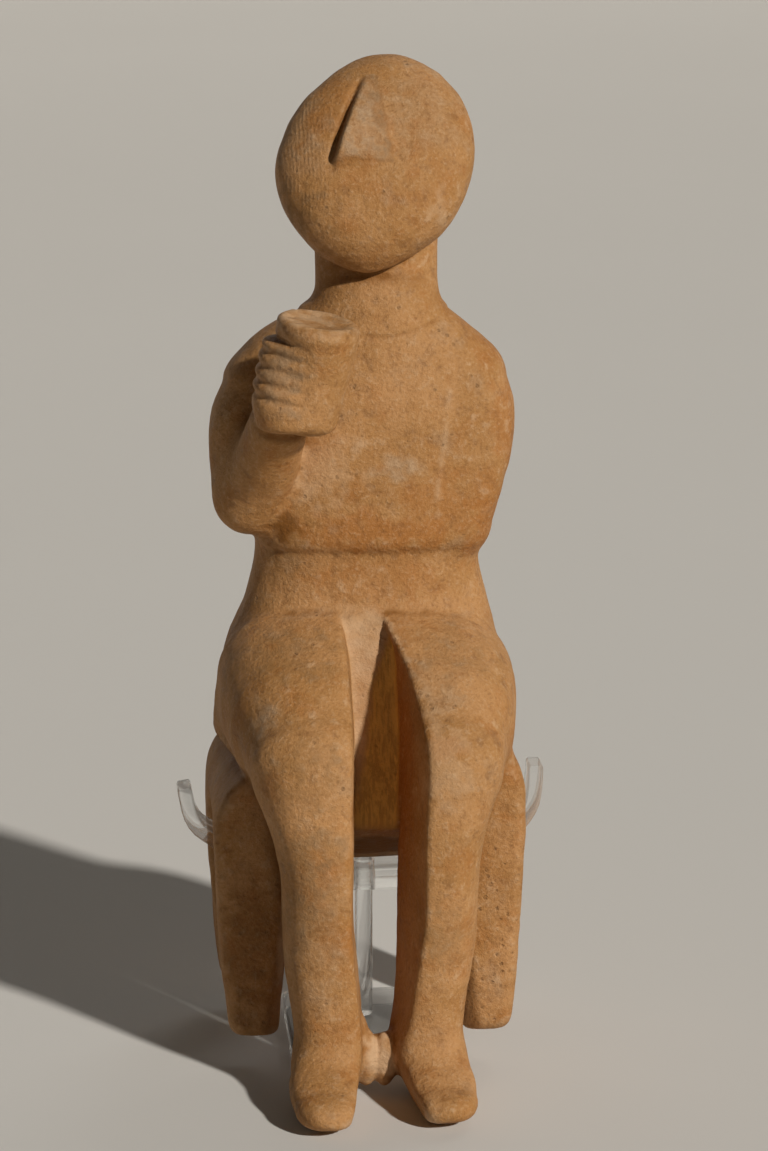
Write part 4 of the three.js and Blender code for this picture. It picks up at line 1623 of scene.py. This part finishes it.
    dressing_depth: float = 0.10
    grain_size: float = 2.6
    grain_depth: float = 0.045
    chip_size: float = 1.6
    pit_depth: float = 0.10
    break_depth: float = 0.22

    def build(self) -> Piece:
        """Carves, weathers and dresses the marble.

        Returns:
            The piece.
        """
        distance = self.figure.distance
        points, quads = self.carver.surface(distance, np.array(self.low), np.array(self.high))
        points, faces = self.carver.refine(points, quads, self.is_fine(points)[quads].any(axis=1))
        points = self.carver.slide(distance, points)
        slope = slope_of(distance, points, self.normal_step)
        normals = slope / np.linalg.norm(slope, axis=1)[:, None]
        masks = self.masks(points, normals)
        points = points + normals * self.wear(points, masks)[:, None] + self.drift(points)
        piece = make_object("figurine_marble", points * MM, faces, self.finish.material())
        for name, values in masks.items():
            mask = piece.data.attributes.new(name, "FLOAT", "POINT")
            mask.data.foreach_set("value", values.astype(np.float32))
        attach(piece, BODY)
        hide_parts("figurine")
        return piece

    def is_fine(self, points: Array) -> Array:
        """Which points lie where the carving is fine: face, fist, web, crease and incised lines.

        Args:
            points: Points in millimetres.

        Returns:
            True for the points that do.
        """
        low, high = self.belly_crease
        fine = (points[:, 2] > low) & (points[:, 2] < high)
        for zone in self.fine_zones:
            fine |= zone.distance(points) < 0.0
        for line in self.incisions:
            fine |= line.share(points) > self.faint
        return fine

    def masks(self, points: Array, normals: Array) -> dict[str, Array]:
        """Masks for the finish, each from 0 to 1.

        Args:
            points: Points in millimetres.
            normals: Their outward normals.

        Returns:
            Values by the mask's name.
        """
        grain = Grain(self.mask_seed).layered(points, self.mask_size, self.mask_layers)
        masks = {tone.value: np.zeros(len(points)) for tone in Tone}
        for patch in self.patches:
            self.deepen(masks, patch.tone, patch.share(points, grain))
        head, cleft = self.figure.head, self.figure.cleft
        face, band, rim = head.nose.cover(head.skull.local(points), grain)
        on_head = head.skull.distance(points) < self.nose_reach
        self.deepen(masks, Tone.GREY, self.nose_grey * face * on_head)
        self.deepen(masks, Tone.SMOKE, self.nose_smoke * band * on_head)
        # A darker line round the nose's face.
        self.deepen(masks, Tone.SHADED_AND_SOILED, self.nose_line * rim * on_head)
        # Painted shade along the crease where belly meets lap.
        crease = self.lap_crease(points) * self.patchy(grain, self.lap_ragged, (0.0, 1.0))
        self.deepen(masks, Tone.SHADED_AND_SOILED, self.lap_crease_shade * crease)
        # Painted warm bounce light on the cleft's back face.
        self.deepen(masks, Tone.PAINTED_BOUNCE, cleft.painted_bounce(points))
        # Painted light: the lit part of the cleft's back face is painted pale.
        strip = cleft.strip(points) * self.patchy(grain, self.strip_ragged, (0.0, 1.0))
        self.deepen(masks, Tone.FRESH_AND_LIT, self.strip_pale * strip)
        for line in self.incisions:
            pale = max(-line.darkened, 0.0) * line.share(points)
            self.deepen(masks, Tone.FRESH_AND_LIT, pale * self.patchy(grain, self.line_pale, self.line_limits))
        # The pale mask, breaks and painted light alike, clears the painted shade.
        fresh_and_lit = np.minimum(self.fresh_and_lit_gain * masks[Tone.FRESH_AND_LIT.value], 1.0)
        clear = (1.0 - self.fresh_and_lit_clears * fresh_and_lit) * (1.0 - self.ochre_clears * masks[Tone.OCHRE.value])
        # Painted shade: closed-in places darken, less where the stone is pale or ochre, and the
        # shaded-and-soiled patches join in.
        masks["recess"] = np.maximum(self.recess(points, normals) * clear, masks[Tone.SHADED_AND_SOILED.value])
        masks["edge"] = self.edge(points, normals)
        return masks

    @staticmethod
    def deepen(masks: dict[str, Array], tone: Tone, share: Array) -> None:
        """Raises a tone's mask to a share wherever that is higher."""
        masks[tone.value] = np.maximum(masks[tone.value], share)

    @staticmethod
    def patchy(grain: Array, line: Pair, limits: Pair) -> Array:
        """A share that varies with the grain: a level plus a slope times the grain, within limits."""
        return np.clip(line[0] + line[1] * grain, *limits)

    def lap_crease(self, points: Array) -> Array:
        """Painted shade in the crease over the lap: 1 where belly and lap both end, falling by a bell
        curve.

        Args:
            points: Points in millimetres.

        Returns:
            Shares from 0 to 1.
        """
        belly = self.figure.torso.distance(points)
        thighs = [leg.thigh.distance(points) for leg in self.figure.legs]
        lap = np.minimum.reduce([self.figure.lap.distance(points), *thighs])
        front = (points[:, 1] < 0.0) * (1.0 - self.figure.cleft.strip(points))
        front = front * (1.0 - rise(np.abs(points[:, 0]), *self.lap_ends))
        line = np.exp(-(((belly - lap - self.lap_shift) / self.lap_width) ** 2))
        return line * (1.0 - rise(belly, *self.lap_reach)) * front

    def drift(self, points: Array) -> Array:
        """Unevenness of work by hand: a slow and a quick noise for each axis moves the points.

        Args:
            points: Points in millimetres.

        Returns:
            Shifts in millimetres, one a row.
        """
        slow = [Grain(self.drift_seed + axis).at(points, self.drift_size) for axis in range(3)]
        quick = [Grain(self.ripple_seed + axis).at(points, self.ripple_size) for axis in range(3)]
        return self.drift_reach * np.stack(slow, axis=1) + self.ripple_reach * np.stack(quick, axis=1)

    def recess(self, points: Array, normals: Array) -> Array:
        """How closed in each point is: the share by which the stone comes closer than free space would. It
        sets how much painted shade the finish lays there.

        Args:
            points: Points in millimetres.
            normals: Their outward normals.

        Returns:
            Shares from 0, open, to 1, deep in a recess.
        """
        total = np.zeros(len(points))
        for reach in self.recess_probes:
            free = self.figure.distance(points + normals * reach)
            total += np.clip((reach - free) / reach, 0.0, 1.0)
        lines = sum(max(line.darkened, 0.0) * line.share(points) for line in self.incisions)
        return np.clip(total / len(self.recess_probes) + self.line_soil * lines, 0.0, 1.0)

    def edge(self, points: Array, normals: Array) -> Array:
        """How sharp each point's edge is: the share by which the skin stays closer below than a flat one's.

        Args:
            points: Points in millimetres.
            normals: Their outward normals.

        Returns:
            Shares from 0, flat or hollow, to 1, a sharp edge.
        """
        below = self.figure.distance(points - normals * self.edge_depth)
        return np.clip((self.edge_depth + below) / self.edge_depth, 0.0, 1.0)

    def wear(self, points: Array, masks: dict[str, Array]) -> Array:
        """Height of the worn surface over the carved one.

        Broad dressing marks and fine grain roughen the whole skin, pits the pitted patches, and breaks the
        patches of the pale mask. Incised lines are cut in.

        Args:
            points: Points in millimetres.
            masks: The masks by name.

        Returns:
            Heights in millimetres.
        """
        grain = Grain(self.wear_seed)
        chips = grain.layered(points, self.chip_size, self.wear_layers)
        height = self.dressing_depth * grain.at(points, self.dressing_size)
        height += self.grain_depth * grain.layered(points, self.grain_size, self.wear_layers)
        height += self.pit_depth * masks[Tone.PITTED.value] * chips
        height += self.break_depth * masks[Tone.FRESH_AND_LIT.value] * chips
        for line in self.incisions:
            height -= line.depth * line.share(points)
        return height


@dataclass
class Stand:
    """The clear stand: a foot plate, a post and a cradle bar whose ends turn up."""

    finish: Acrylic = field(default_factory=Acrylic)
    depth: float = 9.0
    tip_depth: float = 5.0
    edge: float = 0.35
    bar_top: float = 28.9
    bar_height: float = 3.6
    bar_end: float = 9.0
    prong: float = 2.2
    right_prong: tuple[tuple[float, float], ...] = (
        (13.0, 27.9),
        (17.0, 29.4),
        (20.0, 31.2),
        (22.5, 33.3),
        (24.2, 35.0),
        (25.7, 37.3),
        (26.3, 40.0),
        (26.5, 43.8),
    )
    left_prong: tuple[tuple[float, float], ...] = (
        (-13.0, 28.0),
        (-17.0, 29.6),
        (-21.0, 31.9),
        (-23.9, 33.9),
        (-25.7, 35.3),
        (-26.8, 37.2),
        (-27.3, 39.3),
        (-27.7, 41.6),
    )
    post_radius: float = 1.4
    hole_radius: float = 1.7
    drill_reach: float = 3.0
    foot_side: float = 24.0
    foot_height: float = 3.0
    foot_corner: float = 1.6
    foot_edge: float = 0.4
    foot_bevel: float = 0.12
    post_edge: float = 0.15
    gap: float = 0.3
    rings: int = 61
    thinning: float = 2.0
    cap_inset: float = 0.6
    strip_points: int = 24
    rod_points: int = 48
    foot_points: int = 64
    crisp: float = math.radians(38.0)

    def build(self) -> list[Piece]:
        """Makes the three clear pieces.

        Returns:
            The pieces.
        """
        material = self.finish.material()
        made = [
            (self.cradle(material), "stand_cradle"),
            (self.post(material), "stand_post"),
            (self.foot(material), "stand_foot"),
        ]
        for piece, node in made:
            piece.data.set_sharp_from_angle(angle=self.crisp)
            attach(piece, BODY)
            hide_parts(node)
        return [piece for piece, _ in made]

    def path(self) -> tuple[Array, Array, Array]:
        """The strip's middle line from tip to tip, with its half thickness and half depth.

        The line is a cubic through its points by their distance along it. The strip thins and narrows from
        the bar to the tips in even steps.

        Returns:
            Points (across, height), half thicknesses and half depths.
        """
        level = self.bar_top - self.bar_height / 2
        bar = [(-self.bar_end, level), (self.bar_end, level)]
        knots = np.array([*self.left_prong[::-1], *bar, *self.right_prong])
        place = np.concatenate([[0.0], np.cumsum(np.linalg.norm(np.diff(knots, axis=0), axis=1))])
        left_end, right_end = place[len(self.left_prong)], place[len(self.left_prong) + 1]
        to_left = (left_end - place) / left_end
        to_right = (place - right_end) / (place[-1] - right_end)
        out = np.clip(np.maximum(to_left, to_right), 0.0, 1.0)
        rail = Rail(tuple(zip(place, *knots.T, out)))
        across, height, share = rail.at(np.linspace(0.0, place[-1], self.rings))
        thin = np.clip(share * self.thinning, 0.0, 1.0)
        half = (self.bar_height + (self.prong - self.bar_height) * thin) / 2
        deep = (self.depth + (self.tip_depth - self.depth) * share) / 2
        return np.stack([across, height], axis=1), half, deep

    def section(self, half: Array, deep: Array, inset: float) -> Array:
        """Corners of a rounded rectangle, drawn in by an inset.

        Args:
            half: Half thickness of each ring.
            deep: Half depth of each ring.
            inset: How far the outline is drawn in.

        Returns:
            Pairs (thickness, depth) for each ring and each point.
        """
        turn = even_turns(self.strip_points)
        cos, sin = np.cos(turn), np.sin(turn)
        radius = self.edge
        thick = np.sign(cos) * (half[:, None] - inset - radius) + radius * cos
        wide = np.sign(sin) * (deep[:, None] - inset - radius) + radius * sin
        return np.stack([thick, wide], axis=-1)

    def cradle(self, material: Finish) -> Piece:
        """The cradle: a rounded rectangle carried along the bent strip, closed by drawn-in end caps.

        Args:
            material: The clear finish.

        Returns:
            The piece, with the post's hole cut through the bar.
        """
        line, half, deep = self.path()
        along = np.gradient(line, axis=0)
        along /= np.linalg.norm(along, axis=1)[:, None]
        doubled = np.concatenate([[0], np.arange(len(line)), [len(line) - 1]])
        line, along, half, deep = line[doubled], along[doubled], half[doubled], deep[doubled]
        line[1] += along[1] * self.edge
        line[-2] -= along[-2] * self.edge
        rings = self.section(half, deep, 0.0)
        rings[[0, -1]] = self.section(half[[0, -1]], deep[[0, -1]], self.edge * self.cap_inset)
        across = line[:, None, 0] - along[:, None, 1] * rings[..., 0]
        height = line[:, None, 1] + along[:, None, 0] * rings[..., 0]
        points = np.stack([across, rings[..., 1], height], axis=-1).reshape(-1, 3)
        piece = make_object("cradle_strip", points * MM, tube_faces(len(rings), rings.shape[1]), material)
        outward(piece)
        ends = self.bar_top - self.drill_reach * self.bar_height, self.bar_top + self.bar_height
        hole = self.rod("hole_cutter", self.hole_radius, ends, 0.0, material)
        drill = piece.modifiers.new("hole", "BOOLEAN")
        drill.object, drill.operation, drill.solver = hole, "DIFFERENCE", "EXACT"
        view = bpy.context.evaluated_depsgraph_get()
        drilled = bpy.data.meshes.new_from_object(piece.evaluated_get(view))
        piece.modifiers.clear()
        piece.data = drilled
        bpy.data.objects.remove(hole)
        return piece

    def rod(self, name: str, radius: float, ends: Pair, edge: float, material: Finish) -> Piece:
        """An upright rod: a profile turned about the stand's axis, with its ends' edges taken off.

        Args:
            name: Name of the piece.
            radius: Its radius.
            ends: Heights of its lower and upper end.
            edge: Width of the taken-off edges.
            material: Its finish.

        Returns:
            The rod.
        """
        low, high = ends
        inner = radius - edge
        profile = np.array([(inner, low), (radius, low + edge), (radius, high - edge), (inner, high)])
        turn = np.linspace(0.0, 2 * math.pi, self.rod_points, endpoint=False)
        ring = np.stack([np.cos(turn), np.sin(turn), np.zeros_like(turn)], axis=-1)
        points = profile[:, None, :1] * ring + profile[:, None, 1:] * np.array((0.0, 0.0, 1.0))
        piece = make_object(name, points.reshape(-1, 3) * MM, tube_faces(len(profile), len(turn)), material)
        outward(piece)
        return piece

    def post(self, material: Finish) -> Piece:
        """The post, from just over the foot plate to the bar's upper face."""
        ends = self.foot_height + self.gap, self.bar_top
        return self.rod("post_rod", self.post_radius, ends, self.post_edge, material)

    def foot(self, material: Finish) -> Piece:
        """The foot plate: a rounded square drawn in at its lower and upper edges.

        Args:
            material: The clear finish.

        Returns:
            The piece.
        """
        turn = even_turns(self.foot_points)
        corner, edge, half = self.foot_corner, self.foot_edge, self.foot_side / 2
        ring = np.stack([np.cos(turn), np.sin(turn)], axis=-1)
        square = np.sign(ring) * (half - corner) + corner * ring
        lower = np.array([(edge, 0.0), (self.foot_bevel, self.foot_bevel), (0.0, edge)])
        upper = lower[::-1] * (1.0, -1.0) + (0.0, self.foot_height)
        levels = np.concatenate([lower, upper])
        flat = square[None] * (1.0 - levels[:, None, :1] / half)
        height = np.broadcast_to(levels[:, None, 1:], (*flat.shape[:2], 1))
        points = np.concatenate([flat, height], axis=-1).reshape(-1, 3)
        piece = make_object("foot_plate", points * MM, tube_faces(len(levels), len(turn)), material)
        outward(piece)
        return piece


def even_turns(count: int) -> Array:
    """Angles at even steps around a ring, the first half a step past zero, so that none lies on an axis."""
    return np.linspace(0.0, 2 * math.pi, count, endpoint=False) + math.pi / count


def tube_faces(rings: int, around: int) -> list[list[int]]:
    """Quads between neighbouring closed rings, and a cap over the first and the last one.

    Args:
        rings: Number of rings.
        around: Points in each ring.

    Returns:
        Faces of point numbers.
    """
    row, step = np.meshgrid(np.arange(rings - 1), np.arange(around), indexing="ij")
    after = (step + 1) % around
    here, above = row * around, (row + 1) * around
    quads = np.stack([here + step, here + after, above + after, above + step], axis=-1)
    last = (rings - 1) * around
    return [*quads.reshape(-1, 4).tolist(), list(range(around))[::-1], list(range(last, last + around))]


def outward(piece: Piece) -> None:
    """Turns a closed mesh inside out if its volume comes out negative.

    Args:
        piece: The object that has the mesh.
    """
    mesh = piece.data
    mesh.calc_loop_triangles()
    corners = np.zeros(len(mesh.vertices) * 3)
    mesh.vertices.foreach_get("co", corners)
    triangles = np.zeros(len(mesh.loop_triangles) * 3, int)
    mesh.loop_triangles.foreach_get("vertices", triangles)
    a, b, c = corners.reshape(-1, 3)[triangles.reshape(-1, 3)].transpose(1, 0, 2)
    if np.sum(a * np.cross(b, c)) < 0:
        mesh.flip_normals()


def towards(azimuth: float, elevation: float) -> Vector:
    """Unit vector from the figure towards a place at angles right of its front and above the floor."""
    level = math.cos(elevation)
    return Vector((math.sin(azimuth) * level, -math.cos(azimuth) * level, math.sin(elevation)))


@dataclass(frozen=True)
class Lamp:
    """A distant soft light, with angles in degrees and a strength in watts for each square metre."""

    name: str
    azimuth: float
    elevation: float
    spread: float
    strength: float
    colour: Vec

    def build(self) -> None:
        """Puts the light into the scene, facing the figure."""
        light = bpy.data.lights.new(self.name, "SUN")
        light.angle, light.energy, light.color = math.radians(self.spread), self.strength, self.colour
        lamp = bpy.data.objects.new(self.name, light)
        place = towards(math.radians(self.azimuth), math.radians(self.elevation))
        lamp.rotation_euler = place.to_track_quat("Z", "Y").to_euler()
        lamp.location = place
        bpy.context.scene.collection.objects.link(lamp)


@dataclass
class Studio:
    """Pale floor, soft light and the camera, in metres."""

    azimuth: float = math.radians(-5.0)
    elevation: float = math.radians(15.0)
    away: float = 0.600
    target: Vec = (0.0, -0.008, 0.076)
    lens: float = 125.22
    sensor: float = 36.0
    shift: Pair = (0.0139, 0.0014)
    nearest: float = 0.01
    sky: Colour = (1.0, 0.94, 0.84, 1.0)
    sky_strength: float = 0.02
    lamps: tuple[Lamp, ...] = (
        Lamp("key", 38.0, 31.0, 3.0, 3.2, (1.0, 0.965, 0.91)),
        Lamp("back", 150.0, 40.0, 25.0, 0.35, (0.97, 0.98, 1.0)),
    )
    paints: tuple[Colour, Colour] = ((0.64, 0.62, 0.585, 1.0), (0.67, 0.65, 0.615, 1.0))
    paint_noise: tuple[float, float, float] = (0.3, 2.0, 0.55)
    paint_gloss: float = 0.85
    floor_half: float = 4.0
    floor_run: float = 1.8
    floor_bend: float = 0.8
    floor_top: float = 2.6
    floor_points: int = 17

    def build(self) -> None:
        """Sets up floor, world, lights and camera."""
        self.floor()
        scene = bpy.context.scene
        scene.world = bpy.data.worlds.new("studio")
        scene.world.use_nodes = True
        background = scene.world.node_tree.nodes["Background"]
        background.inputs["Color"].default_value = self.sky
        background.inputs["Strength"].default_value = self.sky_strength
        for lamp in self.lamps:
            lamp.build()
        self.camera()
        scene.view_settings.view_transform = "Standard"

    def floor(self) -> None:
        """A pale floor that sweeps up behind the figure: a profile of two straights and a quarter bend."""
        board = Board("floor_paint")
        place = board.node("ShaderNodeTexCoord", {}).outputs["Object"]
        colour = board.blend(board.noise(place, *self.paint_noise), *self.paints)
        paint = board.finish({"Base Color": colour, "Roughness": self.paint_gloss})
        turn = np.linspace(0.0, math.pi / 2, self.floor_points)
        bend = self.floor_bend
        end = self.floor_run + bend
        run = np.concatenate([[-self.floor_half], self.floor_run + bend * np.sin(turn), [end]])
        height = np.concatenate([[0.0], bend * (1.0 - np.cos(turn)), [self.floor_top]])
        sides = (-self.floor_half, self.floor_half)
        rows = np.stack([np.stack([np.full_like(run, side), run, height], axis=1) for side in sides])
        step = np.arange(len(run) - 1)
        faces = np.stack([step, step + len(run), step + len(run) + 1, step + 1], axis=1)
        make_object("floor", rows.reshape(-1, 3), faces, paint)

    def camera(self) -> None:
        """The camera, on a sphere about the target and looking at it."""
        data = bpy.data.cameras.new("camera")
        data.lens, data.sensor_width = self.lens, self.sensor
        data.shift_x, data.shift_y = self.shift
        data.clip_start = self.nearest
        back = towards(self.azimuth, self.elevation)
        made = bpy.data.objects.new("camera", data)
        turned = back.to_track_quat("Z", "Y").to_matrix().to_4x4()
        made.matrix_world = Matrix.Translation(Vector(self.target) + back * self.away) @ turned
        bpy.context.scene.collection.objects.link(made)
        bpy.context.scene.camera = made


def main() -> None:
    """Builds the figurine, its stand and the studio, and reports each piece."""
    logging.basicConfig(level=logging.INFO, format="%(name)s: %(message)s")
    pieces = [Figurine().build(), *Stand().build()]
    Studio().build()
    for piece in pieces:
        log.info("%s: %d faces", piece.name, len(piece.data.polygons))


if __name__ == "__main__":
    main()
